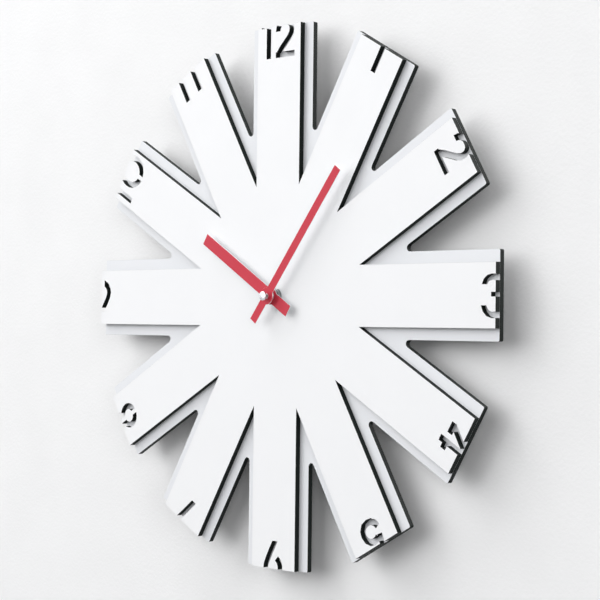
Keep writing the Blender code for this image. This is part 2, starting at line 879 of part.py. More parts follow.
def build_battery():
    """A cylindrical cell lying in the bay, with its positive nub to the right."""
    half = (battery_length - battery_nub_length) / 2
    edge = battery_edge_radius
    profile = [
        (0, half + battery_nub_length), (battery_nub_radius, half + battery_nub_length),
        (battery_nub_radius, half), (battery_radius - edge, half), (battery_radius, half - edge),
        (battery_radius, -half + edge), (battery_radius - edge, -half), (0, -half),
    ]
    cell = turned_piece("battery", profile, False, battery_sleeve, clock_frame)
    cell.rotation_euler = (0, math.pi / 2, 0)
    cell.location = (-battery_nub_length / 2, battery_axis, battery_level)


def build_springs():
    """The bowed strip at the negative end of the bay and the flat one at the positive end."""
    low = battery_level - spring_width / 2
    high = battery_level + spring_width / 2
    half = spring_thickness / 2
    wall = -inner_half + seat_gap + half
    crest = -battery_length / 2 - seat_gap - half
    foot = battery_radius * spring_foot_share
    bend = battery_radius * spring_bend_share
    bow = [
        (wall, battery_axis - foot), (wall, battery_axis - bend), (crest, battery_axis),
        (wall, battery_axis + bend), (wall, battery_axis + foot),
    ]
    flat_piece("negative_spring", [ribbon(bow, spring_thickness)], low, high, steel, clock_frame)
    tab = battery_length / 2 + seat_gap + half
    plate = [(tab, battery_axis - spring_width / 2), (tab, battery_axis + spring_width / 2)]
    flat_piece("positive_contact", [ribbon(plate, spring_thickness)], low, high, steel, clock_frame)


def stator_limits():
    """The left, right, low and high limits of the stator plate around the rotor."""
    right = rotor_place[0] + coil_length / 2 + stator_leg_width
    left = rotor_place[0] - coil_length / 2 - stator_leg_width
    low = rotor_place[1] - stator_bar_height / 2
    high = coil_height + coil_core_width
    return left, right, low, high


def stator_pillar_places():
    """Where the pillars of the case reach the two legs of the stator."""
    left, right, low, high = stator_limits()
    middle = (low + high) / 2
    inset = stator_leg_width / 2
    return [(left + inset, middle), (right - inset, middle)]


def board_limits():
    """The left, right, low and high limits of the circuit board, beside the stator and above the hour wheel."""
    left = stator_limits()[1] + board_stator_gap
    low = hour_module * (hour_teeth / 2 + addendum_share) + board_wheel_gap
    return left, inner_half - board_edge_gap, low, train_high - board_edge_gap


def board_pillar_places():
    """Where the pillars of the case reach the circuit board."""
    left, right, low, high = board_limits()
    inset = 2 * pillar_radius
    return [(left + inset, low + inset), (right - inset, high - inset)]


def build_stator():
    """The soft iron plate: a bar with the rotor's hole and two legs up to the coil."""
    left, right, low, high = stator_limits()
    step = low + stator_bar_height
    inner_left = left + stator_leg_width
    inner_right = right - stator_leg_width
    outline = [
        (left, low), (right, low), (right, high), (inner_right, high), (inner_right, step),
        (inner_left, step), (inner_left, high), (left, high),
    ]
    hole = circle(magnet_radius + stator_air_gap, rotor_place)
    flat_piece("stator", [outline, hole], stator_low, stator_high, steel, clock_frame)


def build_coil():
    """The bobbin with its winding, and the core that bridges the stator's legs through it."""
    half = coil_length / 2 - seat_gap
    flange = half - coil_flange_thickness
    profile = [
        (coil_radius, half), (coil_radius, flange), (coil_winding_radius, flange), (coil_winding_radius, -flange),
        (coil_radius, -flange), (coil_radius, -half), (coil_bore_radius, -half), (coil_bore_radius, half),
    ]
    coil = turned_piece("coil", profile, True, copper, clock_frame, small_sides)
    coil.rotation_euler = (0, math.pi / 2, 0)
    coil.location = (rotor_place[0], coil_height, coil_level)
    left, right, low, high = stator_limits()
    half_core = coil_core_width / 2
    core = rectangle(left, right, coil_height - half_core, coil_height + half_core)
    flat_piece("coil_core", [core], coil_core_low, coil_core_high, steel, clock_frame)


def build_board():
    """The circuit board and the quartz crystal's can lying on it."""
    left, right, low, high = board_limits()
    outline = rectangle(left, right, low, high, board_corner_radius)
    flat_piece("circuit_board", [outline], board_low, board_high, circuit_green, clock_frame)
    half = crystal_length / 2
    profile = [(0, half), (crystal_radius, half), (crystal_radius, -half), (0, -half)]
    can = turned_piece("quartz_crystal", profile, False, steel, clock_frame, small_sides)
    can.rotation_euler = (0, math.pi / 2, 0)
    can.location = ((left + right) / 2, (low + high) / 2, board_low - seat_gap - crystal_radius)


# Gears


def gear_outline(teeth, module, turn, pinion=False):
    """Straight-sided teeth round a circle, the first centred on the turn angle."""
    pitch = 2 * math.pi / teeth
    addendum = pinion_addendum_share if pinion else addendum_share
    root_half = pitch * (pinion_root_half_share if pinion else root_half_share)
    tip_half = pitch * (pinion_tip_half_share if pinion else tip_half_share)
    tip = module * (teeth / 2 + addendum)
    root = module * (teeth / 2 - dedendum_share)
    points = []
    for tooth in range(teeth):
        angle = turn + tooth * pitch
        for radius, offset in ((root, -root_half), (tip, -tip_half), (tip, tip_half), (root, root_half)):
            points.append((radius * math.cos(angle + offset), radius * math.sin(angle + offset)))
    return points


def mesh_turn(turn, teeth, next_teeth, bearing):
    """How far the next gear is turned so that its gap meets the first one's tooth on the line of centres."""
    return bearing + math.pi + math.pi / next_teeth - (turn - bearing) * teeth / next_teeth


def wheel_holes(teeth, module, hub_radius):
    """Round lightening holes between a wheel's hub and its rim."""
    root = module * (teeth / 2 - dedendum_share)
    place = hub_radius + (root - hub_radius) * wheel_hole_place_share
    size = root * wheel_hole_share
    bearings = [2 * math.pi * step / wheel_hole_count for step in range(wheel_hole_count)]
    return [circle(size, polar(place, bearing), hole_sides) for bearing in bearings]


def bored(obj, parent, low, high, radius=post_radius + running_clearance):
    """Bores a gear for the post that it turns on."""
    bore = cylinders(obj.name + "_bore", [(centre_place, radius, low, high)], parent, small_sides)
    boolean(obj, bore, "DIFFERENCE")


def compound_gear(name, parent, wheel, wheel_low, wheel_high, pinion, pinion_low, pinion_high, finish_material):
    """A wheel and a pinion moulded in one, bored for a post."""
    body = flat_mesh(name, wheel, wheel_low, wheel_high, clock_parts)
    finish(body, finish_material, parent)
    leaves = flat_mesh(name + "_leaves", [pinion], pinion_low, pinion_high, clock_cutters)
    boolean(body, as_cutter(leaves, parent), "UNION")
    bored(body, parent, pinion_low - overrun, pinion_high + overrun)
    return body


seconds_turn = 0.0
seconds_pinion_turn = 0.0
third_turn = mesh_turn(seconds_pinion_turn, seconds_pinion_teeth, third_teeth, third_bearing)
third_pinion_turn = 0.0
centre_turn = mesh_turn(third_pinion_turn, third_pinion_teeth, centre_teeth, third_bearing + math.pi)
fifth_pinion_turn = mesh_turn(seconds_turn, seconds_teeth, fifth_pinion_teeth, fifth_bearing)
fifth_turn = 0.0
rotor_turn = mesh_turn(fifth_turn, fifth_teeth, rotor_teeth, rotor_bearing)
cannon_turn = 0.0
motion_turn = mesh_turn(cannon_turn, cannon_teeth, motion_teeth, motion_bearing)
motion_pinion_turn = 0.0
hour_turn = mesh_turn(motion_pinion_turn, motion_pinion_teeth, hour_teeth, motion_bearing + math.pi)
set_turn = mesh_turn(motion_turn, motion_teeth, set_teeth, set_bearing)


def build_seconds_wheel():
    """The seconds wheel, which the fifth wheel drives and whose pinion drives the third wheel."""
    axis = axis_empty("seconds_axis", centre_place)
    hub = seconds_module * seconds_pinion_teeth
    wheel = [gear_outline(seconds_teeth, seconds_module, seconds_turn)]
    wheel += wheel_holes(seconds_teeth, seconds_module, hub)
    pinion = gear_outline(seconds_pinion_teeth, third_module, seconds_pinion_turn, True)
    compound_gear(
        "seconds_wheel", axis, wheel, seconds_low, seconds_high, pinion,
        seconds_low + wheel_thickness / 2, seconds_pinion_high, white_plastic,
    )


def build_third_wheel():
    """The third wheel, whose long pinion reaches up to the centre wheel."""
    axis = axis_empty("third_axis", third_place)
    hub = third_module * third_pinion_teeth
    wheel = [gear_outline(third_teeth, third_module, third_turn)]
    wheel += wheel_holes(third_teeth, third_module, hub)
    pinion = gear_outline(third_pinion_teeth, centre_module, third_pinion_turn, True)
    compound_gear(
        "third_wheel", axis, wheel, third_low, third_high, pinion,
        third_low + wheel_thickness / 2, third_pinion_high, natural_plastic,
    )


def build_fifth_wheel():
    """The wheel between the rotor and the seconds wheel."""
    axis = axis_empty("fifth_axis", fifth_place)
    hub = seconds_module * fifth_pinion_teeth / 2
    wheel = [gear_outline(fifth_teeth, rotor_module, fifth_turn)]
    wheel += wheel_holes(fifth_teeth, rotor_module, hub)
    pinion = gear_outline(fifth_pinion_teeth, seconds_module, fifth_pinion_turn, True)
    compound_gear(
        "fifth_wheel", axis, wheel, fifth_low, fifth_high, pinion,
        fifth_pinion_low, fifth_low + wheel_thickness / 2, white_plastic,
    )


def build_rotor():
    """The magnet and its small pinion, on one sleeve."""
    axis = axis_empty("rotor_axis", rotor_place)
    overlap = wheel_thickness / 4
    body = flat_mesh("rotor", [circle(magnet_radius)], magnet_low, magnet_high, clock_parts)
    finish(body, dark_plastic, axis)
    pinion = gear_outline(rotor_teeth, rotor_module, rotor_turn, True)
    leaves = flat_mesh("rotor_leaves", [pinion], rotor_pinion_low, magnet_low + overlap, clock_cutters)
    boolean(body, as_cutter(leaves, axis), "UNION")
    bored(body, axis, rotor_pinion_low - overrun, magnet_high + overrun)


def build_centre_wheel():
    """The centre wheel, held on the minute arbor by friction so that the hands can be set."""
    axis = axis_empty("centre_axis", centre_place)
    hub = arbor_flange_radius
    outlines = [gear_outline(centre_teeth, centre_module, centre_turn)]
    outlines.append(circle(minute_arbor_radius + running_clearance, sides=small_sides))
    outlines += wheel_holes(centre_teeth, centre_module, hub)
    flat_piece("centre_wheel", outlines, centre_low, centre_high, brass, axis)


def build_minute_arbor(axis):
    """The minute arbor: a flange behind the centre wheel, the cannon pinion and the long spindle."""
    stop = cap_low() + cap_neck_height - seat_gap
    shoulder = minute_blade_low - minute_collet_length
    profile = [
        (0, stop), (arbor_tip_radius, stop), (arbor_tip_radius, shoulder), (minute_arbor_radius, shoulder),
        (minute_arbor_radius, arbor_flange_high), (arbor_flange_radius, arbor_flange_high),
        (arbor_flange_radius, arbor_low), (0, arbor_low),
    ]
    arbor = turned_piece("minute_arbor", profile, False, brass, axis, small_sides)
    pinion = gear_outline(cannon_teeth, motion_module, cannon_turn, True)
    leaves = flat_mesh("cannon_leaves", [pinion], cannon_low, cannon_high, clock_cutters)
    boolean(arbor, as_cutter(leaves, axis), "UNION")


def build_motion_wheel():
    """The motion wheel, which steps the minute arbor down to the hour wheel."""
    axis = axis_empty("motion_axis", motion_place)
    hub = hour_module * motion_pinion_teeth / 2
    wheel = [gear_outline(motion_teeth, motion_module, motion_turn)]
    wheel += wheel_holes(motion_teeth, motion_module, hub)
    pinion = gear_outline(motion_pinion_teeth, hour_module, motion_pinion_turn, True)
    compound_gear(
        "motion_wheel", axis, wheel, motion_low, motion_high, pinion,
        motion_low + wheel_thickness / 2, motion_pinion_high, white_plastic,
    )


def build_hour_wheel(axis):
    """The hour wheel and the pipe that carries the hour hand through the bush."""
    pipe_low = hour_wheel_low + wheel_thickness / 2
    pipe_high = hour_blade_high + 2 * collet_lip
    body = flat_mesh("hour_wheel", [gear_outline(hour_teeth, hour_module, hour_turn)], hour_wheel_low,
                     hour_wheel_high, clock_parts)
    finish(body, natural_plastic, axis)
    pipe = cylinders("hour_pipe", [(centre_place, hour_pipe_radius, pipe_low, pipe_high)], axis, round_sides)
    boolean(body, pipe, "UNION")
    bore = cylinders(
        "hour_pipe_bore",
        [(centre_place, hour_pipe_bore_radius, hour_wheel_low - overrun, pipe_high + overrun)],
        axis,
    )
    boolean(body, bore, "DIFFERENCE")


def build_set_knob():
    """The knob at the back that sets the hands, in one with its shaft and gear."""
    axis = axis_empty("set_axis", set_place)
    wheel = [gear_outline(set_teeth, motion_module, set_turn)]
    body = flat_mesh("set_knob", wheel, motion_low, motion_high, clock_parts)
    finish(body, white_plastic, axis)
    shaft = [(centre_place, knob_shaft_radius, knob_low + knob_thickness / 2, motion_low + wheel_thickness / 2)]
    boolean(body, cylinders("knob_shaft", shaft, axis), "UNION")
    grip = []
    for step in range(2 * knob_grip_count):
        radius = knob_radius - knob_grip_depth * (step % 2)
        grip.append(polar(radius, math.pi * (step + knob_grip_turn_share) / knob_grip_count))
    disc = flat_mesh("knob_disc", [grip], knob_low, knob_high, clock_cutters)
    boolean(body, as_cutter(disc, axis), "UNION")
    bored(body, axis, motion_low - seat_gap, motion_high + overrun)


# Hands


def bar_hand_outline(reach, tail, width):
    """A flat bar with square ends and a round eye at the axis."""
    half = width / 2
    slip = math.asin(half / hand_eye_radius)
    right = arc((0, 0), (hand_eye_radius, hand_eye_radius), math.pi / 2 - slip, slip - math.pi / 2, numeral_arc_steps)
    left = [(-x, -y) for x, y in right]
    return [(-half, reach), (half, reach), *right, (half, -tail), (-half, -tail), *left]


def hand_blade(name, outline, hole_radius, low, high, angle, parent):
    """One hand's blade, turned clockwise from twelve to where it points."""
    hole = circle(hole_radius, sides=small_sides)
    blade = flat_piece(name, [outline, hole], low, high, red_paint, parent)
    blade.rotation_euler = (0, 0, -angle)
    return blade


def collet(name, bore, blade_low, blade_high, length, parent):
    """A spool through a hand's eye, with a lip on each side of the blade."""
    waist = bore + collet_wall
    lip = waist + collet_lip + seat_gap
    front = blade_high + seat_gap
    rear = blade_low - seat_gap
    profile = [
        (lip, front + collet_lip), (lip, front), (waist, front), (waist, rear), (lip, rear),
        (lip, rear - length), (bore, rear - length), (bore, front + collet_lip),
    ]
    turned_piece(name, profile, True, aluminium, parent)
    return waist + seat_gap


def build_hour_hand(axis):
    """The hour hand on its collet."""
    bore = hour_pipe_radius + running_clearance
    hole = collet("hour_collet", bore, hour_blade_low, hour_blade_high, hour_collet_length, axis)
    outline = bar_hand_outline(hour_reach, hour_tail, hour_width)
    hand_blade("hour_hand", outline, hole, hour_blade_low, hour_blade_high, hour_angle, axis)


def cap_low():
    """The height at which the cap nut's neck starts, in front of the minute hand's collet."""
    return minute_blade_high + collet_lip + 2 * seat_gap


def build_minute_hand(axis):
    """The minute hand on its collet, and the cap nut that holds it."""
    bore = arbor_tip_radius + running_clearance
    neck_radius = bore + cap_neck_wall
    hole = collet("minute_collet", bore, minute_blade_low, minute_blade_high, minute_collet_length - seat_gap, axis)
    outline = bar_hand_outline(minute_reach, minute_tail, minute_width)
    hand_blade("minute_hand", outline, hole, minute_blade_low, minute_blade_high, minute_angle, axis)
    foot = cap_low()
    neck = foot + cap_neck_height
    head = neck + cap_head_height
    dome = cap_head_height * cap_dome_share
    profile = [(0, head)]
    profile += [(r, z) for r, z in arc((0, head - dome), (cap_head_radius, dome), math.pi / 2, 0, corner_steps)][1:]
    profile += [
        (cap_head_radius, neck), (neck_radius, neck), (neck_radius, foot), (bore, foot), (bore, neck), (0, neck),
    ]
    turned_piece("cap_nut", profile, False, chrome, axis)


# The whole clock


def build_clock():
    """Builds the plates, the movement and the hands."""
    build_plates()
    build_base()
    build_cover()
    build_fastening()
    build_battery()
    build_springs()
    build_stator()
    build_coil()
    build_board()
    build_seconds_wheel()
    build_third_wheel()
    build_fifth_wheel()
    build_rotor()
    build_centre_wheel()
    build_motion_wheel()
    build_set_knob()
    hour_axis = axis_empty("hour_axis", centre_place)
    build_hour_wheel(hour_axis)
    build_hour_hand(hour_axis)
    minute_axis = axis_empty("minute_axis", centre_place)
    build_minute_arbor(minute_axis)
    build_minute_hand(minute_axis)
    bpy.context.view_layer.update()


build_clock()
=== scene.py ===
"""A wall clock with two stacked twelve-armed plates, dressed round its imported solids.

Lengths are metres in the frame of the solids: the dial faces -Y, the hands turn about the Y axis through the
origin, and the back of the movement touches the wall in the plane y = 0. An outline is drawn as seen from the
front, across (X) and up (Z).
"""

import logging
import math
from collections.abc import Sequence
from dataclasses import dataclass, field
from enum import Enum, auto

import bmesh
import bpy
import numpy as np
from mathutils import Matrix, Vector
from mathutils.geometry import delaunay_2d_cdt


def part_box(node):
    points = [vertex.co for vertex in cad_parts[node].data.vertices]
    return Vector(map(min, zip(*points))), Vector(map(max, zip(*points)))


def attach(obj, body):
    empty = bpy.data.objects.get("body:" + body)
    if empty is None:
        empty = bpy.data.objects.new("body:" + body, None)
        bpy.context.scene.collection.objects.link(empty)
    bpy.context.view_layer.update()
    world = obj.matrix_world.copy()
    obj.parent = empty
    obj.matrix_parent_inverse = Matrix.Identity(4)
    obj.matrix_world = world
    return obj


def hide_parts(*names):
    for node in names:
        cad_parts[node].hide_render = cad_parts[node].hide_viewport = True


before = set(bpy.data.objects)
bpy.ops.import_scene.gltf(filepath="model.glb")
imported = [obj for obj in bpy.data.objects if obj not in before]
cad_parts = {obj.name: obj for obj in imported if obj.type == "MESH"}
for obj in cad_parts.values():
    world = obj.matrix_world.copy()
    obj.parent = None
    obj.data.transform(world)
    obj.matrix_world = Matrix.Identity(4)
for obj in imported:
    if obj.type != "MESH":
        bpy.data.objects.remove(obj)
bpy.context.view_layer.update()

log = logging.getLogger("wall_clock")
Colour = tuple[float, float, float]
MM = 0.001
TURN = 2 * math.pi
INSIDE_CONSTRAINTS = 1
SAME_PLACE = 1e-9
SAME_LEVEL = 0.001 * MM
ROUNDED_PLACES = 7
WAVE_PERIOD = TURN / 20
ROUND_CREASE = 50


# Shader graphs


class Socket:
    """One output of a shader node; sums and products written on it add Math nodes."""

    def __init__(self, graph: "Graph", output: bpy.types.NodeSocket) -> None:
        """Keeps the graph and the output that it wraps."""
        self.graph, self.output = graph, output

    def _math(self, operation: str, first: "Socket | float", second: "Socket | float") -> "Socket":
        """A Math node on two values."""
        return self.graph.node("ShaderNodeMath", {"operation": operation}, {0: first, 1: second})

    def __add__(self, other: "Socket | float") -> "Socket":
        """The sum."""
        return self._math("ADD", self, other)

    def __rsub__(self, other: float) -> "Socket":
        """The difference from a number."""
        return self._math("SUBTRACT", other, self)

    def __mul__(self, other: "Socket | float") -> "Socket":
        """The product."""
        return self._math("MULTIPLY", self, other)

    def __pow__(self, other: "Socket | float") -> "Socket":
        """The power."""
        return self._math("POWER", self, other)

    __radd__ = __add__
    __rmul__ = __mul__


class Graph:
    """The node tree of one material."""

    def __init__(self, name: str, tree: bpy.types.NodeTree | None = None) -> None:
        """Empties a tree, or the tree of a new material."""
        if tree is None:
            self.material = bpy.data.materials.new(name)
            self.material.use_nodes = True
            tree = self.material.node_tree
        self.tree = tree
        self.tree.nodes.clear()

    def node(self, kind: str, settings: dict | None = None, inputs: dict | None = None,
             output: int | str = 0) -> Socket:
        """Adds one node.

        Args:
            kind: the node's type.
            settings: its properties, set first.
            inputs: values or links of its sockets, by name or number.
            output: the output that is wanted.

        Returns:
            That output.
        """
        made = self.tree.nodes.new(kind)
        for key, value in (settings or {}).items():
            setattr(made, key, value)
        for key, value in (inputs or {}).items():
            if isinstance(value, Socket):
                self.tree.links.new(value.output, made.inputs[key])
            else:
                made.inputs[key].default_value = value
        return Socket(self, made.outputs[output])

    def place(self, scale: Colour = (1, 1, 1)) -> Socket:
        """Object coordinates, scaled along each axis."""
        found = self.node("ShaderNodeTexCoord", output="Object")
        return self.node("ShaderNodeMapping", {}, {"Vector": found, "Scale": scale})

    def noise(self, size: float, detail: float = 3, stretch: Colour = (1, 1, 1)) -> Socket:
        """Soft noise with patches of a size.

        Args:
            size: width of a patch, in metres.
            detail: octaves of finer noise in it.
            stretch: how much faster it changes along each axis.

        Returns:
            The noise, from 0 to 1.
        """
        inputs = {"Vector": self.place(stretch), "Scale": 1 / size, "Detail": detail}
        return self.node("ShaderNodeTexNoise", {}, inputs)

    def cells(self, size: float) -> Socket:
        """Distance to the nearest of scattered points a size apart."""
        return self.node("ShaderNodeTexVoronoi", {}, {"Vector": self.place(), "Scale": 1 / size})

    def wave(self, size: float, settings: dict) -> Socket:
        """Waves a size apart, straight or in rings."""
        inputs = {"Vector": self.place(), "Scale": WAVE_PERIOD / size, "Distortion": 0.6, "Detail": 2}
        return self.node("ShaderNodeTexWave", settings, inputs)

    def blend(self, first: "Socket | Colour", second: "Socket | Colour", share: "Socket | float") -> Socket:
        """A colour between two.

        Args:
            first: the colour at share 0.
            second: the colour at share 1.
            share: the share of the second.

        Returns:
            The mixed colour.
        """
        ends = [c if isinstance(c, Socket) else (*c, 1) for c in (first, second)]
        return self.node("ShaderNodeMix", {"data_type": "RGBA"}, {0: share, 6: ends[0], 7: ends[1]}, 2)

    def surface(self, inputs: dict) -> bpy.types.Material:
        """Ends the graph in a Principled shader with these inputs."""
        self.end(self.node("ShaderNodeBsdfPrincipled", {}, inputs))
        return self.material

    def end(self, shader: Socket, kind: str = "ShaderNodeOutputMaterial") -> None:
        """Ends the graph in a shader."""
        out = self.tree.nodes.new(kind)
        self.tree.links.new(shader.output, out.inputs["Surface"])


class Grain(Enum):
    """What the fine relief of a finish looks like."""

    SPECKLED = auto()
    SAWN = auto()
    FIBRED = auto()
    PEEL = auto()
    MOULDED = auto()
    TURNED = auto()
    DRAWN = auto()
    WOUND = auto()
    ETCHED = auto()


@dataclass(frozen=True)
class Finish:
    """A surface finish: its colours, gloss and fine relief.

    The colour drifts towards the shade colour in soft patches, which is tone at random, and a little in the hollows of
    the relief, which is painted shade.
    """

    slot: str
    colour: Colour
    shade: Colour
    roughness: float
    grain: Grain
    grain_size: float
    relief: float
    metallic: float = 0.0
    coat: float = 0.0
    patch_size: float = 0.03
    patch_share: float = 0.5
    gloss_swing: float = 0.1
    specular: float = 0.5
    variant: str = ""

    @property
    def name(self) -> str:
        """The slot, with the variant where there is one."""
        return f"{self.slot}_{self.variant}" if self.variant else self.slot

    def pattern(self, graph: Graph) -> Socket:
        """The relief as a height from 0 to 1."""
        size = self.grain_size
        match self.grain:
            case Grain.SPECKLED:
                return graph.cells(size) * 0.6 + graph.noise(size * 3) * 0.4
            case Grain.SAWN:
                return graph.noise(size, 4, (1, 0.05, 1))
            case Grain.FIBRED:
                across, along = graph.noise(size, 4, (0.25, 1, 1)), graph.noise(size, 4, (1, 1, 0.25))
                return across * 0.5 + along * 0.5
            case Grain.PEEL:
                return graph.noise(size, 1)
            case Grain.MOULDED:
                return graph.cells(size) ** 0.5 * 0.7 + graph.noise(size * 2) * 0.3
            case Grain.TURNED:
                return graph.wave(size, {"wave_type": "RINGS", "rings_direction": "Y"})
            case Grain.DRAWN:
                return graph.noise(size, 3, (0.08, 1, 1))
            case Grain.WOUND:
                return graph.wave(size, {"wave_type": "BANDS", "bands_direction": "X"})
            case _:
                return graph.wave(size, {"wave_type": "BANDS", "bands_direction": "DIAGONAL"})

    def build(self) -> bpy.types.Material:
        """The material of this finish."""
        graph = Graph(self.name + "_finish")
        height = self.pattern(graph)
        patches = graph.noise(self.patch_size)
        # Tone at random in soft patches, plus painted shade: the colour leans to the shade colour in the hollows of
        # the relief.
        share = patches * self.patch_share + (1 - height) * (self.patch_share * 0.4)
        normal = graph.node("ShaderNodeBump", {}, {"Distance": self.relief, "Height": height})
        return graph.surface({
            "Base Color": graph.blend(self.colour, self.shade, share),
            "Metallic": self.metallic,
            "Roughness": patches * (2 * self.gloss_swing) + (self.roughness - self.gloss_swing),
            "Coat Weight": self.coat,
            "Specular IOR Level": self.specular,
            "Normal": normal,
        })


@dataclass(frozen=True)
class Finishes:
    """Every finish of the clock, by its name."""

    table: dict[str, Finish] = field(default_factory=lambda: {f.name: f for f in (
        Finish("white_laminate", (0.91, 0.915, 0.93), (0.86, 0.87, 0.885), 0.55, Grain.SPECKLED, 0.5 * MM,
               0.012 * MM, patch_share=0.3),
        Finish("grey_laminate", (0.84, 0.855, 0.885), (0.79, 0.805, 0.835), 0.55, Grain.SPECKLED, 0.5 * MM,
               0.012 * MM, patch_share=0.3),
        Finish("black_board", (0.006, 0.009, 0.008), (0.013, 0.018, 0.016), 0.55, Grain.SAWN, 0.35 * MM,
               0.03 * MM, patch_size=0.008, specular=0.12),
        # The back's black is lighter than the rim's: partly the board's own fibred face, partly painted light so that
        # the dimly lit back still reads.
        Finish("black_board", (0.016, 0.017, 0.017), (0.040, 0.041, 0.041), 0.52, Grain.FIBRED, 1.1 * MM,
               0.05 * MM, patch_size=0.035, patch_share=0.8, specular=0.4, variant="back"),
        Finish("red_paint", (0.60, 0.036, 0.062), (0.53, 0.029, 0.052), 0.45, Grain.PEEL, 0.4 * MM,
               0.006 * MM, patch_size=0.012, specular=0.25),
        Finish("black_plastic", (0.020, 0.020, 0.021), (0.034, 0.034, 0.035), 0.34, Grain.MOULDED, 0.22 * MM,
               0.02 * MM, patch_size=0.012),
        Finish("white_plastic", (0.80, 0.80, 0.77), (0.70, 0.70, 0.66), 0.38, Grain.MOULDED, 0.3 * MM,
               0.006 * MM, patch_size=0.006),
        Finish("natural_plastic", (0.72, 0.68, 0.57), (0.62, 0.57, 0.45), 0.36, Grain.MOULDED, 0.3 * MM,
               0.006 * MM, patch_size=0.006),
        Finish("rubber", (0.015, 0.015, 0.015), (0.03, 0.03, 0.028), 0.78, Grain.SPECKLED, 0.25 * MM,
               0.03 * MM, patch_size=0.005),
        Finish("brass", (0.78, 0.57, 0.26), (0.60, 0.42, 0.18), 0.26, Grain.TURNED, 0.09 * MM,
               0.004 * MM, metallic=1, patch_size=0.004, gloss_swing=0.06),
        Finish("steel", (0.36, 0.37, 0.37), (0.22, 0.23, 0.23), 0.40, Grain.TURNED, 0.12 * MM,
               0.006 * MM, metallic=1, patch_size=0.003, gloss_swing=0.08),
        Finish("chrome", (0.56, 0.56, 0.58), (0.44, 0.44, 0.47), 0.26, Grain.TURNED, 0.15 * MM,
               0.001 * MM, metallic=1, patch_size=0.004, gloss_swing=0.04),
        Finish("aluminium", (0.83, 0.84, 0.85), (0.70, 0.71, 0.72), 0.30, Grain.DRAWN, 0.08 * MM,
               0.004 * MM, metallic=1, patch_size=0.004, gloss_swing=0.06),
        Finish("copper", (0.72, 0.30, 0.14), (0.42, 0.14, 0.06), 0.30, Grain.WOUND, 0.14 * MM,
               0.05 * MM, metallic=1, patch_size=0.004),
        Finish("circuit_board", (0.02, 0.12, 0.05), (0.05, 0.26, 0.10), 0.40, Grain.ETCHED, 0.9 * MM,
               0.03 * MM, coat=0.3, patch_size=0.002),
        Finish("magnet", (0.10, 0.10, 0.11), (0.05, 0.05, 0.055), 0.45, Grain.SPECKLED, 0.12 * MM,
               0.01 * MM, metallic=0.6, patch_size=0.002),
        Finish("battery_sleeve", (0.035, 0.05, 0.08), (0.05, 0.07, 0.11), 0.30, Grain.PEEL, 0.6 * MM,
               0.006 * MM, coat=0.4, patch_size=0.01),
        Finish("battery_sleeve", (0.55, 0.56, 0.58), (0.45, 0.46, 0.48), 0.30, Grain.PEEL, 0.6 * MM,
               0.006 * MM, metallic=0.6, coat=0.4, patch_size=0.01, variant="band"),
    )})
    made: dict[str, bpy.types.Material] = field(default_factory=dict)

    def get(self, name: str) -> bpy.types.Material:
        """The material of a finish, built once."""
        if name not in self.made:
            self.made[name] = self.table[name].build()
        return self.made[name]


FINISHES = Finishes()


# Surfaces


@dataclass
class Shell:
    """A closed surface: its points, and blocks of faces, each block with the number of its finish."""

    points: np.ndarray
    blocks: list[tuple[np.ndarray, int]]

    def turned_by(self, matrix: Matrix) -> "Shell":
        """The shell moved by a matrix."""
        turn = np.array(matrix)
        return Shell(self.points @ turn[:3, :3].T + turn[:3, 3], self.blocks)


def unit(vectors: np.ndarray) -> np.ndarray:
    """Rows divided by their lengths; a row of no length stays as it is."""
    length = np.linalg.norm(vectors, axis=1, keepdims=True)
    return vectors / np.where(length < 1e-12, 1, length)


def eased(points: Sequence[tuple[float, float]], radius: float, steps: int = 4, closed: bool = False) -> np.ndarray:
    """Rounds the corners of a line.

    A corner p gives way to the curve (1-t)^2 a + 2 t (1-t) p + t^2 b, where a and b lie on its two sides at the
    radius from p, or at under half of the side where that is short.

    Args:
        points: the corners.
        radius: how far the rounding reaches along each side.
        steps: pieces of each rounding.
        closed: whether the line runs round; an open one keeps its ends.

    Returns:
        The points of the rounded line.
    """
    corner = np.asarray(points, float)
    before, after = np.roll(corner, 1, 0) - corner, np.roll(corner, -1, 0) - corner
    reach = [np.minimum(radius, 0.48 * np.linalg.norm(side, axis=1, keepdims=True)) for side in (before, after)]
    start, end = corner + unit(before) * reach[0], corner + unit(after) * reach[1]
    t = np.linspace(0, 1, steps + 1)[None, :, None]
    curve = (1 - t) ** 2 * start[:, None] + 2 * t * (1 - t) * corner[:, None] + t ** 2 * end[:, None]
    if closed:
        return curve.reshape(-1, 2)
    return np.concatenate((corner[:1], curve[1:-1].reshape(-1, 2), corner[-1:]))


def circle(radius: float, sides: int, centre: tuple[float, float] = (0, 0)) -> np.ndarray:
    """Points of a circle, anticlockwise."""
    turn = np.arange(sides) * TURN / sides
    return np.stack((np.cos(turn), np.sin(turn)), 1) * radius + centre


def runs_left(corners: np.ndarray) -> np.ndarray:
    """Whether each triangle runs anticlockwise, that is whether (b - a) x (c - a) is above 0."""
    ahead, across = corners[:, 1] - corners[:, 0], corners[:, 2] - corners[:, 0]
    return ahead[:, 0] * across[:, 1] - ahead[:, 1] * across[:, 0] > 0


def broken(arris: float, front: float, back: float) -> tuple[tuple[float, float], ...]:
    """The profile of a sheet between two levels, with both of its edges broken."""
    return (arris, front), (0, front + arris), (0, back - arris), (arris, back)


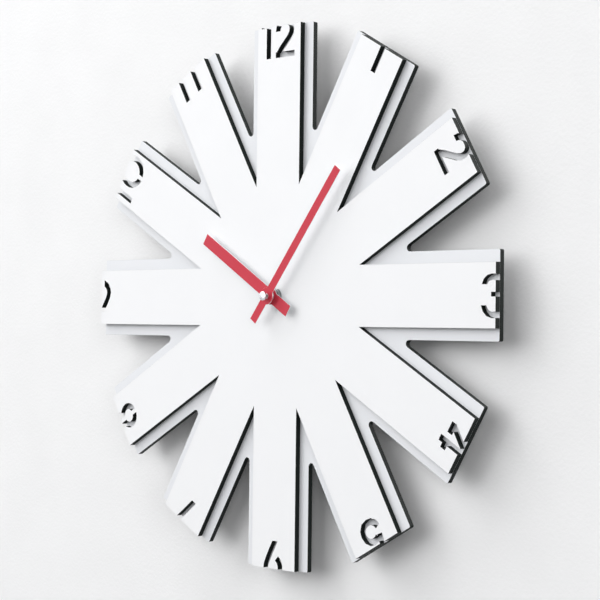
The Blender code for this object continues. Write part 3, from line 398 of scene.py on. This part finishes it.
def filled(points: np.ndarray, edges: np.ndarray) -> np.ndarray:
    """Triangles between the loops that edges make, anticlockwise; a loop inside another is a hole.

    A triangle stays where a line from its middle to the right crosses the loops an odd number of times.

    Args:
        points: the places.
        edges: pairs of their numbers.

    Returns:
        The numbers of each triangle's corners.
    """
    places = [Vector(point) for point in points]
    found = delaunay_2d_cdt(places, edges.tolist(), [], INSIDE_CONSTRAINTS, SAME_PLACE)
    if len(found[0]) != len(points):
        raise ValueError("the outline crosses itself")
    triangles = np.array(found[2], int)
    middle = points[triangles].mean(1)[:, None]
    start, end = points[edges[:, 0]][None], points[edges[:, 1]][None]
    spans = (start[..., 1] <= middle[..., 1]) != (end[..., 1] <= middle[..., 1])
    rise = np.where(spans, (end - start)[..., 1], 1)
    crossing = start[..., 0] + (middle - start)[..., 1] * (end - start)[..., 0] / rise
    triangles = triangles[(spans & (crossing > middle[..., 0])).sum(1) % 2 == 1]
    return np.where(runs_left(points[triangles])[:, None], triangles, triangles[:, ::-1])


@dataclass
class Outline:
    """A flat shape: its points, and its rim as directed edges with the material on their left."""

    points: np.ndarray
    edges: np.ndarray

    @classmethod
    def of_node(cls, name: str, level: float) -> "Outline":
        """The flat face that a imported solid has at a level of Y.

        Args:
            name: the solid.
            level: its Y.

        Returns:
            The outline; its rim is the edges that only one triangle has.
        """
        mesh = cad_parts[name].data
        corners = np.empty(len(mesh.vertices) * 3)
        mesh.vertices.foreach_get("co", corners)
        index = np.empty(len(mesh.loops), int)
        mesh.loops.foreach_get("vertex_index", index)
        places = corners.reshape(-1, 3)[index.reshape(-1, 3)]
        flat = places[(np.abs(places[:, :, 1] - level) < SAME_LEVEL).all(axis=1)][:, :, ::2]
        flat = np.where(runs_left(flat)[:, None, None], flat, flat[:, ::-1])
        rounded = np.round(flat.reshape(-1, 2), ROUNDED_PLACES)
        points, number = np.unique(rounded, axis=0, return_inverse=True)
        triangles = number.reshape(-1, 3)
        edges = np.concatenate([triangles[:, [i, (i + 1) % 3]] for i in range(3)])
        key = edges[:, 0] * len(points) + edges[:, 1]
        back = edges[:, 1] * len(points) + edges[:, 0]
        rim = edges[~np.isin(key, back)]
        used, rim = np.unique(rim, return_inverse=True)
        return cls(points[used], rim.reshape(-1, 2))

    @classmethod
    def of_loops(cls, loops: Sequence[np.ndarray]) -> "Outline":
        """The shape inside a loop, less the holes that the other loops go round.

        Args:
            loops: the outer loop, anticlockwise, and the holes, clockwise.

        Returns:
            The outline.
        """
        starts = np.cumsum([0] + [len(loop) for loop in loops])
        edges = [np.stack((np.arange(len(loop)), np.roll(np.arange(len(loop)), -1)), 1) + start
                 for loop, start in zip(loops, starts)]
        return cls(np.concatenate(loops), np.concatenate(edges))

    def inward(self, limit: float = 1.5) -> np.ndarray:
        """How each point moves when the rim shrinks by one unit.

        With the normals m and n of its two edges, that is (m + n) / (1 + m.n), kept under the limit.

        Args:
            limit: the longest move.

        Returns:
            One vector a point.
        """
        after = np.arange(len(self.points))
        before = after.copy()
        after[self.edges[:, 0]], before[self.edges[:, 1]] = self.edges[:, 1], self.edges[:, 0]
        ahead, behind = unit(self.points[after] - self.points), unit(self.points - self.points[before])
        total = np.stack((-(ahead + behind)[:, 1], (ahead + behind)[:, 0]), 1)
        move = total / np.maximum(1 + (ahead * behind).sum(1, keepdims=True), 0.2)
        length = np.linalg.norm(move, axis=1, keepdims=True)
        return move * np.minimum(1, limit / np.maximum(length, 1e-9))

    def slab(self, profile: Sequence[tuple[float, float]], face: int = 0, side: int = 0,
             back: int | None = None) -> Shell:
        """Carries a profile round the rim and closes it with two flat faces.

        Row j holds every point moved inward by the profile's inset, at the profile's Y.

        Args:
            profile: insets and Y, from the front face to the back face.
            face: the finish of the front face.
            side: the finish of the rim.
            back: the finish of the back face, where it isn't that of the front.

        Returns:
            The closed shell.
        """
        steps, count, inward = np.asarray(profile, float), len(self.points), self.inward()
        flat = self.points[None] + steps[:, :1, None] * inward[None]
        level = np.broadcast_to(steps[:, 1, None, None], (len(steps), count, 1))
        points = np.concatenate((flat[:, :, :1], level, flat[:, :, 1:]), axis=2).reshape(-1, 3)
        row = (np.arange(len(steps) - 1) * count)[:, None]
        a, b = self.edges[:, 0][None] + row, self.edges[:, 1][None] + row
        quads = np.stack((a, a + count, b + count, b), -1).reshape(-1, 4)
        last = (len(steps) - 1) * count
        caps = [filled(flat[i], self.edges) for i in (0, -1)]
        rear = face if back is None else back
        return Shell(points, [(caps[0], face), (caps[1][:, ::-1] + last, rear), (quads, side)])


def polar(radii: np.ndarray, levels: np.ndarray, centre: tuple[float, float] = (0, 0), closed: bool = False,
          finish: int | Sequence[int] = 0) -> Shell:
    """A surface round an axis along Y.

    The point of row i at bearing t lies at (cx + r cos t, y, cz + r sin t).

    Args:
        radii: r, one row for each step of the profile and one column for each bearing.
        levels: y of each row.
        centre: cx and cz.
        closed: whether the last row joins the first, as in a ring; otherwise the ends lie on the axis.
        finish: the number of its finish, or one number for each step between rows.

    Returns:
        The shell, with outward faces where the rows run from the front over the outside to the back.
    """
    rows, sides = radii.shape
    turn = np.arange(sides) * TURN / sides
    level = np.broadcast_to(np.asarray(levels, float)[:, None], radii.shape)
    points = np.stack((centre[0] + radii * np.cos(turn), level, centre[1] + radii * np.sin(turn)), -1)
    i = np.arange(rows if closed else rows - 1)[:, None]
    j = np.arange(sides)[None]
    i_next, j_next = (i + 1) % rows, (j + 1) % sides
    quads = np.stack((i * sides + j, i_next * sides + j, i_next * sides + j_next, i * sides + j_next), -1)
    numbers = np.broadcast_to(finish, len(quads))
    return Shell(points.reshape(-1, 3), [(quads[numbers == n].reshape(-1, 4), int(n)) for n in np.unique(numbers)])


def turned(profile: Sequence[tuple[float, float]] | np.ndarray, sides: int = 64,
           centre: tuple[float, float] = (0, 0), closed: bool = False, finish: int | Sequence[int] = 0) -> Shell:
    """A profile of radii and Y, turned round an axis along Y."""
    steps = np.asarray(profile, float)
    return polar(np.repeat(steps[:, :1], sides, axis=1), steps[:, 1], centre, closed, finish)


def ring(inner: float, outer: float, front: float, back: float, ease: float, sides: int = 64,
         centre: tuple[float, float] = (0, 0), finish: int = 0) -> Shell:
    """A flat ring with rounded corners.

    Args:
        inner: its bore radius.
        outer: its outer radius.
        front: Y of its front face.
        back: Y of its back face.
        ease: the rounding.
        sides: its facets.
        centre: its axis.
        finish: the number of its finish.

    Returns:
        The closed shell.
    """
    corners = ((inner, front), (outer, front), (outer, back), (inner, back))
    return turned(eased(corners, ease, 3, closed=True), sides, centre, True, finish)


def piece(name: str, shells: Sequence[Shell], slots: Sequence[str], body: str, replaces: Sequence[str] = (),
          crease: float = 34) -> bpy.types.Object:
    """Makes one named piece of the clock.

    Args:
        name: its name.
        shells: its surfaces.
        slots: the finishes that the shells' numbers stand for; the first names the piece's own slot.
        body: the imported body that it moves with.
        replaces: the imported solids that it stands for.
        crease: edges that turn by more than this many degrees stay sharp.

    Returns:
        The object.
    """
    starts = np.cumsum([0] + [len(shell.points) for shell in shells])
    blocks = [(faces + start, finish) for shell, start in zip(shells, starts) for faces, finish in shell.blocks]
    mesh = bpy.data.meshes.new(name)
    mesh.from_pydata(np.concatenate([s.points for s in shells]).tolist(), [],
                     [face for faces, _ in blocks for face in faces.tolist()])
    for slot in slots:
        mesh.materials.append(FINISHES.get(slot))
    mesh.polygons.foreach_set("material_index", np.concatenate([np.full(len(f), n) for f, n in blocks]))
    work = bmesh.new()
    work.from_mesh(mesh)
    bmesh.ops.remove_doubles(work, verts=work.verts, dist=0.0001 * MM)
    work.to_mesh(mesh)
    work.free()
    mesh.shade_smooth()
    mesh.set_sharp_from_angle(angle=math.radians(crease))
    made = bpy.data.objects.new(name, mesh)
    bpy.context.scene.collection.objects.link(made)
    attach(made, body)
    if replaces:
        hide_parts(*replaces)
    log.info("%s: %d faces, rides on %s", name, len(mesh.polygons), body)
    return made


# Sub-assemblies


@dataclass
class Plates:
    """The two star-shaped plates: black boards, each with a thin laminate on its front."""

    board_arris: float = 0.06 * MM
    laminate_arris: float = 0.05 * MM

    def layer(self, name: str, node: str, slots: Sequence[str], arris: float) -> None:
        """Makes one layer from the outline of its solid.

        Args:
            name: the piece's name.
            node: the solid that it replaces.
            slots: the finishes of its front face, its rim and its back face.
            arris: how much its sharp edges are broken.
        """
        low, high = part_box(node)
        outline = Outline.of_node(node, low.y)
        piece(name, [outline.slab(broken(arris, low.y, high.y), 0, 1, 2)], slots, "clock", [node])

    def build(self) -> None:
        """Makes the four layers."""
        for plate, laminate in (("dial", "white_laminate"), ("backing", "grey_laminate")):
            board = ["black_board", "black_board", "black_board_back"]
            self.layer(plate + "_board", plate + "_core", board, self.board_arris)
            self.layer(plate + "_laminate", plate + "_face", [laminate, *board[1:]], self.laminate_arris)


@dataclass
class Hand:
    """A flat bar hand with a round eye on a collet."""

    name: str
    body: str
    angle: float
    reach: float
    tail: float
    width: float
    eye_radius: float
    bore_radius: float
    arris: float = 0.05 * MM
    eye_steps: int = 24
    coin_radius: float = 5.5 * MM
    coin_width: float = 0.35 * MM
    coin_height: float = 0.05 * MM

    def outline(self) -> Outline:
        """The bar's outline with its eye and bore.

        Along the hand the eye is the circle of its radius, from where it leaves the bar on one side to where it
        meets it again; the whole is then turned to the hand's bearing, clockwise from 12.

        Returns:
            The outline.
        """
        half = self.width / 2
        start = math.asin(half / self.eye_radius)
        bow = np.linspace(start, math.pi - start, self.eye_steps)
        upper = np.stack((np.cos(bow), np.sin(bow)), 1) * self.eye_radius
        loop = np.concatenate(([[self.reach, -half], [self.reach, half]], upper,
                               [[-self.tail, half], [-self.tail, -half]], -upper))
        turn = math.pi / 2 - self.angle
        spin = np.array(((math.cos(turn), math.sin(turn)), (-math.sin(turn), math.cos(turn))))
        return Outline.of_loops([loop @ spin, circle(self.bore_radius, 2 * self.eye_steps)[::-1]])

    def build(self) -> None:
        """Makes the blade, painted on its face and bare on its sides and back, with a coined ring round its eye."""
        low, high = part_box(self.name)
        profile = broken(self.arris, low.y, high.y)
        coined = ring(self.coin_radius - self.coin_width, self.coin_radius, low.y - self.coin_height,
                      low.y + self.coin_height, self.coin_height)
        shells = [self.outline().slab(profile, 0, 1, 1), coined]
        piece(self.name + "_blade", shells, ["red_paint", "aluminium"], self.body, [self.name])


@dataclass
class Hub:
    """The small turned pieces on the axis: collets, cap nut, and the nut and washer that clamp the plates."""

    cap_neck: float = 0.9 * MM
    cap_bore: float = 0.7 * MM
    cap_dome: float = 0.7 * MM
    cap_radius: float = 3.35 * MM
    cap_height: float = 1.5 * MM
    cap_rows: int = 12
    cap_bore_end: float = -38.55 * MM
    minute_sink: float = 1.15 * MM
    sink_depth: float = 0.35 * MM
    minute_waist: float = 1.3 * MM
    minute_bore: float = 0.7 * MM
    hour_bore: float = 2.55 * MM
    hour_waist: float = 3.15 * MM
    ease: float = 0.12 * MM
    nut_sides: int = 6
    nut_columns: int = 96
    nut_bore: float = 3.92 * MM
    nut_depths: tuple[float, ...] = (0, 0.1 * MM, 0.22 * MM, 0.36 * MM, 0.5 * MM)
    nut_face: float = 0.97
    nut_cone_slope: float = 1.9
    nut_crease: float = 25
    washer_bore: float = 4.2 * MM

    def cap(self) -> None:
        """The round-headed cap nut: a head that is a quarter ellipse over a short side, on a neck whose dark finish is
        painted shade, the shade under the head.
        """
        low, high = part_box("cap_nut")
        radius, under = self.cap_radius, low.y + self.cap_height
        t = np.linspace(0, math.pi / 2, self.cap_rows)
        dome = np.stack((radius * np.sin(t), low.y + self.cap_dome * (1 - np.cos(t))), 1)
        side = eased(((radius, low.y + self.cap_dome), (radius, under), (0, under)), self.ease)
        neck = eased(((0, under), (self.cap_neck, under), (self.cap_neck, high.y), (self.cap_bore, high.y),
                      (self.cap_bore, self.cap_bore_end), (0, self.cap_bore_end)), self.ease)
        # The neck's dark magnet finish is painted shade: it stands for the shade that the head casts on it.
        shells = [turned(np.concatenate((dome, side[1:]))), turned(neck, 32, finish=1)]
        piece("cap_nut_head", shells, ["chrome", "magnet"], "minute", ["cap_nut"], ROUND_CREASE)

    def collet(self, hand: str, line: Sequence[tuple[float, float]]) -> None:
        """Turns one collet from its closed profile.

        Args:
            hand: the body and the hand that it carries.
            line: the profile, from the bore's front edge over the outside to its back edge.
        """
        bush = turned(eased(line, self.ease, 3, True), closed=True)
        piece(hand + "_collet_bush", [bush], ["aluminium"], hand, [hand + "_collet"], ROUND_CREASE)

    def collets(self) -> None:
        """The two collets: a lip before the blade, a waist through its eye, and a flange behind it."""
        low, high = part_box("minute_collet")
        blade_low, blade_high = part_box("minute_hand")
        self.collet("minute", (
            (self.minute_bore, low.y + self.sink_depth), (self.minute_sink, low.y), (high.x, low.y),
            (high.x, blade_low.y), (self.minute_waist, blade_low.y), (self.minute_waist, high.y),
            (self.minute_bore, high.y)))
        low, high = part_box("hour_collet")
        blade_low, blade_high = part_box("hour_hand")
        self.collet("hour", (
            (self.hour_bore, low.y), (high.x, low.y), (high.x, blade_low.y), (self.hour_waist, blade_low.y),
            (self.hour_waist, high.y), (self.hour_bore, high.y)))

    def nut(self) -> None:
        """The hexagon nut.

        Its radius at bearing t is the flat's distance over cos(t folded into a sixth of a turn), and never more
        than a cone that starts at the flats' circle on each face, as a chamfered nut has.
        """
        low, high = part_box("dial_nut")
        flat = high.z
        t = np.arange(self.nut_columns) * TURN / self.nut_columns
        sixth = TURN / self.nut_sides
        hexagon = flat / np.cos(t % sixth - sixth / 2)
        depth = np.array(self.nut_depths)
        cone = flat * self.nut_face + depth * self.nut_cone_slope
        levels = np.concatenate((low.y + depth, (high.y - depth)[::-1]))
        cones = np.concatenate((cone, cone[::-1]))
        outside = np.minimum(hexagon[None], cones[:, None])
        inside = np.full((1, self.nut_columns), self.nut_bore)
        radii = np.concatenate((inside, outside, inside))
        shell = polar(radii, np.concatenate(([low.y], levels, [high.y])), closed=True)
        piece("hexagon_nut", [shell], ["steel"], "clock", ["dial_nut"], self.nut_crease)

    def washers(self) -> None:
        """The steel washer under the nut and the rubber washer behind the plates."""
        for name, node, slot in (("steel_washer", "dial_washer", "steel"), ("rubber_ring", "rubber_washer", "rubber")):
            low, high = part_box(node)
            piece(name, [ring(self.washer_bore, high.x, low.y, high.y, self.ease)], [slot], "clock", [node])

    def build(self) -> None:
        """Makes all of them."""
        self.cap()
        self.collets()
        self.nut()
        self.washers()


@dataclass
class Movement:
    """The quartz movement on the back: its cover, its cell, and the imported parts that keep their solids."""

    cover_depth: float = 1.4 * MM
    rim: float = 0.6 * MM
    rim_height: float = 0.3 * MM
    arris: float = 0.25 * MM
    well_floor: float = 0.6 * MM
    well_depth: float = 3.0 * MM
    well_radius: float = 5.7 * MM
    well_outside: float = 6.3 * MM
    shaft_hole: float = 1.25 * MM
    post_radius: float = 0.28 * MM
    bearing_radius: float = 3.4 * MM
    rib_length: float = 15.0 * MM
    rib_width: float = 0.9 * MM
    rib_pitch: float = 3.2 * MM
    rib_count: int = 5
    rib_place: tuple[float, float] = (-15.5 * MM, 7.0 * MM)
    arrow_radius: float = 8.6 * MM
    arrow_width: float = 0.8 * MM
    arrow_head: float = 1.3 * MM
    arrow_turn: float = 0.9
    arrow_starts: tuple[float, ...] = (math.radians(105), math.radians(215))
    arrow_steps: int = 14
    arrow_point: float = 2.2
    mark_ease: float = 0.12 * MM
    fine_ease: float = 0.1 * MM
    post_gap: float = 0.3 * MM
    post_sides: int = 12
    cell_nub: float = 2.7 * MM
    cell_nub_length: float = 1.2 * MM
    cell_nub_ease: float = 0.3 * MM
    cell_lip: float = 0.9 * MM
    cell_roll: float = 0.5 * MM
    cell_step: float = 0.25 * MM
    cell_band: float = 0.27
    cell_sides: int = 72
    cell_crease: float = 40
    weld: float = 0.001 * MM
    soft_angle: float = math.radians(50)
    soft_steps: int = 2

    def soften(self, node: str, width: float) -> None:
        """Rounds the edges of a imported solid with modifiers, which leave its mesh as it is.

        Args:
            node: the solid.
            width: how far the rounding reaches.
        """
        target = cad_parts[node]
        target.modifiers.new("weld", "WELD").merge_threshold = self.weld
        bevel = target.modifiers.new("arris", "BEVEL")
        bevel.width, bevel.segments, bevel.limit_method = width, self.soft_steps, "ANGLE"
        bevel.angle_limit = self.soft_angle

    def mark(self, loop: np.ndarray) -> Shell:
        """A raised mark on the cover's recessed field, with broken edges."""
        ease = self.mark_ease
        return Outline.of_loops([loop]).slab(((0, -self.rim_height), (0, -ease), (ease, 0)))

    def ribs(self) -> list[Shell]:
        """A row of level ribs, each a bar with round ends."""
        half, side = self.rib_width / 2, self.rib_length / 2
        bow = np.linspace(-math.pi / 2, math.pi / 2, 9)
        cap = np.stack((np.cos(bow), np.sin(bow)), 1) * half
        bar = np.concatenate((cap + (side, 0), -cap - (side, 0)))
        return [self.mark(bar + self.rib_place + (0, i * self.rib_pitch)) for i in range(self.rib_count)]

    def arrows(self, centre: tuple[float, float]) -> list[Shell]:
        """Two arrows round the setting knob, each an arc with a head at its end.

        Args:
            centre: the knob's axis.

        Returns:
            One shell for each.
        """
        half, middle, steps = self.arrow_width / 2, self.arrow_radius, self.arrow_steps
        marks = []
        for start in self.arrow_starts:
            t = np.linspace(start, start + self.arrow_turn, steps)
            tip = t[-1] + self.arrow_point * self.arrow_head / middle
            radii = [np.full(steps, middle + half), [middle + self.arrow_head], [middle],
                     [middle - self.arrow_head], np.full(steps, middle - half)]
            turns = [t, t[-1:], [tip], t[-1:], t[::-1]]
            r, a = np.concatenate(radii), np.concatenate(turns)
            marks.append(self.mark(np.stack((r * np.cos(a), r * np.sin(a)), 1) + centre))
        return marks

    def cover(self) -> None:
        """The rear cover: a plate with a raised rim, the knob's well, ribs, arrows and the wheels' posts.

        The profile is carried round the plate, the nail slot and the well: up the side, over the rim and down to
        the recessed field.
        """
        knob_low, knob_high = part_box("set_knob")
        knob = ((knob_low.x + knob_high.x) / 2, (knob_low.z + knob_high.z) / 2)
        floor, deep = -self.well_depth - self.well_floor, -self.well_depth
        plate = Outline.of_node("movement_cover", 0.0).slab((
            (0, -self.cover_depth), (0, -self.arris), (self.arris * 0.3, -self.arris * 0.3), (self.arris, 0),
            (self.rim, 0), (self.rim + self.fine_ease, -self.rim_height)))
        well = turned(eased((
            (self.shaft_hole, floor), (self.well_outside, floor), (self.well_outside, -self.cover_depth),
            (self.well_radius, -self.cover_depth), (self.well_radius, deep), (self.shaft_hole, deep)),
            self.fine_ease, 2, True), centre=knob, closed=True)
        bearing = ring(self.bearing_radius - self.rib_width, self.bearing_radius,
                       -self.rim_height - self.fine_ease, 0, self.fine_ease)
        shells = [plate, well, bearing, *self.ribs(), *self.arrows(knob)]
        for wheel in ("third_wheel", "fifth_wheel", "rotor", "motion_wheel"):
            low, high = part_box(wheel)
            line = ((0, low.y - self.post_gap), (self.post_radius, low.y - self.post_gap),
                    (self.post_radius, -self.cover_depth), (0, -self.cover_depth))
            shells.append(turned(line, self.post_sides, ((low.x + high.x) / 2, (low.z + high.z) / 2)))
        piece("rear_cover", shells, ["black_plastic"], "clock", ["movement_cover"])

    def cell(self) -> None:
        """The cell: a plain two-toned sleeve turned over both ends, a steel base and a steel nub.

        It is turned about Y and laid along X.
        """
        low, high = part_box("battery")
        radius, nub, roll, step = (high.z - low.z) / 2, self.cell_nub, self.cell_roll, self.cell_step
        shoulder, lip = high.x - self.cell_nub_length, radius - self.cell_lip
        band, ease, bend = low.x + self.cell_band * (high.x - low.x), self.cell_nub_ease, roll * 0.3
        line = ((0, low.x + step), (lip, low.x + step), (lip, low.x), (radius - roll, low.x),
                (radius - bend, low.x + bend), (radius, low.x + roll), (radius, band),
                (radius, shoulder - roll), (radius - bend, shoulder - bend), (radius - roll, shoulder),
                (lip, shoulder), (lip, shoulder - step), (nub, shoulder - step), (nub, high.x - ease),
                (nub - ease, high.x), (0, high.x))
        finishes = (1, 1, 2, 2, 2, 2, 0, 0, 0, 0, 0, 1, 1, 1, 1)
        place = Matrix.Translation((0, (low.y + high.y) / 2, (low.z + high.z) / 2))
        shell = turned(line, self.cell_sides, finish=finishes)
        laid = shell.turned_by(place @ Matrix.Rotation(-math.pi / 2, 4, "Z"))
        slots = ["battery_sleeve", "steel", "battery_sleeve_band"]
        piece("cell", [laid], slots, "clock", ["battery"], self.cell_crease)

    def build(self) -> None:
        """Makes the cover and the cell, and softens the solids that stay."""
        self.cover()
        self.cell()
        for node, width in (("movement_base", 0.2 * MM), ("set_knob", 0.1 * MM), ("negative_spring", 0.05 * MM),
                            ("positive_contact", 0.05 * MM)):
            self.soften(node, width)


@dataclass
class Stage:
    """The wall, the floor, the light and the camera."""

    wall_half: float = 4.0
    floor_level: float = -1.1
    wall_colour: Colour = (0.94, 0.942, 0.948)
    floor_colour: Colour = (0.82, 0.82, 0.82)
    camera_angles: tuple[float, float, float] = (43.558, -0.922, 0.668)
    camera_distance: float = 1.1978
    camera_shift: tuple[float, float] = (0.017627, -0.002504)
    camera_target: tuple[float, float, float] = (0, -0.0261, 0)
    camera_lens: float = 97.69
    camera_sensor: float = 36
    backdrop_glow: float = 0.9
    sky_colour: Colour = (0.985, 0.99, 1.0)
    sky_strength: float = 0.13
    sky_slope: float = 0.05
    lamps: tuple[tuple[str, Colour, float, float], ...] = (
        ("left", (-2.20, -3.80, 0.80), 3.0, 56.0),
        ("far_left", (-4.20, -1.50, 0.80), 3.0, 21.0),
        ("upper_left", (-2.60, -2.20, 2.80), 3.0, 73.0),
        ("front", (0.00, -4.10, 1.60), 3.4, 50.0),
        ("right", (3.40, -2.70, 0.80), 3.0, 56.0),
        ("ceiling", (-0.45, -0.75, 3.55), 1.9, 42.0),
        ("rear", (1.5, 3.0, 1.7), 2.6, 130.0),
    )

    def wall_material(self) -> bpy.types.Material:
        """Pale plaster, seen through from behind so that the clock's back can be looked at."""
        graph = Graph("plaster")
        height = graph.noise(2.5 * MM, 5) * 0.7 + graph.noise(12 * MM, 3) * 0.3
        normal = graph.node("ShaderNodeBump", {}, {"Distance": 0.25 * MM, "Height": height})
        plaster = graph.node("ShaderNodeBsdfPrincipled", {}, {
            "Base Color": graph.blend(self.wall_colour, tuple(0.93 * c for c in self.wall_colour),
                                      graph.noise(60 * MM)), "Roughness": 0.9, "Normal": normal})
        clear = graph.node("ShaderNodeBsdfTransparent")
        behind = graph.node("ShaderNodeNewGeometry", output="Backfacing")
        graph.end(graph.node("ShaderNodeMixShader", {}, {0: behind, 1: plaster, 2: clear}))
        return graph.material

    def sheet(self, name: str, corners: Sequence[tuple[float, float, float]],
              material: bpy.types.Material) -> bpy.types.Object:
        """A flat backdrop.

        Args:
            name: its name.
            corners: its four corners, anticlockwise from its lit side.
            material: its material.

        Returns:
            The object.
        """
        mesh = bpy.data.meshes.new(name)
        mesh.from_pydata(corners, [], [(0, 1, 2, 3)])
        mesh.materials.append(material)
        made = bpy.data.objects.new(name, mesh)
        bpy.context.scene.collection.objects.link(made)
        return made

    def surroundings(self) -> None:
        """The wall in the plane y = 0 and the floor below."""
        h, z = self.wall_half, self.floor_level
        wall = self.sheet("wall", ((-h, 0, -h), (h, 0, -h), (h, 0, h), (-h, 0, h)), self.wall_material())
        wall.visible_diffuse = wall.visible_shadow = False
        graph = Graph("floor")
        colour = graph.blend(self.floor_colour, tuple(0.96 * c for c in self.floor_colour), graph.noise(0.2))
        floor = self.sheet("floor", ((-h, -h, z), (h, -h, z), (h, h, z), (-h, h, z)),
                           graph.surface({"Base Color": colour, "Roughness": 0.8}))
        floor.visible_diffuse = False

    def light(self) -> None:
        """A faint sky and large soft lamps, most of them at the left and above."""
        world = bpy.data.worlds.new("studio")
        world.use_nodes = True
        graph = Graph("studio", world.node_tree)
        direction = graph.node("ShaderNodeTexCoord", output="Generated")
        height = graph.node("ShaderNodeSeparateXYZ", {}, {0: direction}, "Z")
        sky = height * self.sky_slope + self.sky_strength
        paths = [graph.node("ShaderNodeLightPath", output=f"Is {ray} Ray")
                 for ray in ("Camera", "Glossy", "Transmission")]
        seen = paths[0] + paths[1] + paths[2]
        strength = sky * (1 - seen) + seen * self.backdrop_glow
        background = graph.node("ShaderNodeBackground", {}, {"Color": (*self.sky_colour, 1), "Strength": strength})
        graph.end(background, "ShaderNodeOutputWorld")
        bpy.context.scene.world = world
        for name, place, size, power in self.lamps:
            lamp = bpy.data.lights.new(name, "AREA")
            lamp.shape, lamp.size, lamp.energy = "DISK", size, power
            made = bpy.data.objects.new(name, lamp)
            made.location = place
            made.rotation_euler = (-made.location).to_track_quat("-Z", "Y").to_euler()
            bpy.context.scene.collection.objects.link(made)

    def camera(self) -> None:
        """The camera where the photographer stood: to the right of the clock and a little below its middle."""
        azimuth, elevation, roll = (math.radians(a) for a in self.camera_angles)
        across, above = self.camera_shift
        towards = Vector((math.sin(azimuth) * math.cos(elevation), -math.cos(azimuth) * math.cos(elevation),
                          math.sin(elevation)))
        right = Vector((math.cos(azimuth), math.sin(azimuth), 0))
        up = right.cross(-towards)
        aim = Vector(self.camera_target)
        centre = towards * self.camera_distance + right * across + up * above + aim
        side = right * math.cos(roll) + up * math.sin(roll)
        top = up * math.cos(roll) - right * math.sin(roll)
        lens = bpy.data.cameras.new("camera")
        lens.lens, lens.sensor_width = self.camera_lens, self.camera_sensor
        made = bpy.data.objects.new("camera", lens)
        bpy.context.scene.collection.objects.link(made)
        turn = Matrix((side, top, towards)).transposed().to_4x4()
        made.matrix_world = Matrix.Translation(centre) @ turn
        bpy.context.scene.camera = made

    def build(self) -> None:
        """Sets the stage."""
        self.surroundings()
        self.light()
        self.camera()
        bpy.context.scene.view_settings.view_transform = "Standard"


def dress_solids() -> None:
    """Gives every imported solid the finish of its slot."""
    for name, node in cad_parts.items():
        slot = node.material_slots[0].material.name
        node.material_slots[0].material = FINISHES.get(slot)
        log.info("%s: finish %s", name, slot)


def main() -> None:
    """Builds the clock and its stage."""
    logging.basicConfig(level=logging.INFO, format="%(name)s %(message)s")
    dress_solids()
    Plates().build()
    Hand("hour_hand", "hour", angle=math.radians(301.9), reach=83.2 * MM, tail=21.0 * MM, width=9.1 * MM,
         eye_radius=6.2 * MM, bore_radius=3.2 * MM).build()
    Hand("minute_hand", "minute", angle=math.radians(37.3), reach=113.5 * MM, tail=23.2 * MM, width=6.6 * MM,
         eye_radius=6.2 * MM, bore_radius=1.35 * MM).build()
    Hub().build()
    Movement().build()
    Stage().build()


if __name__ == "__main__":
    main()
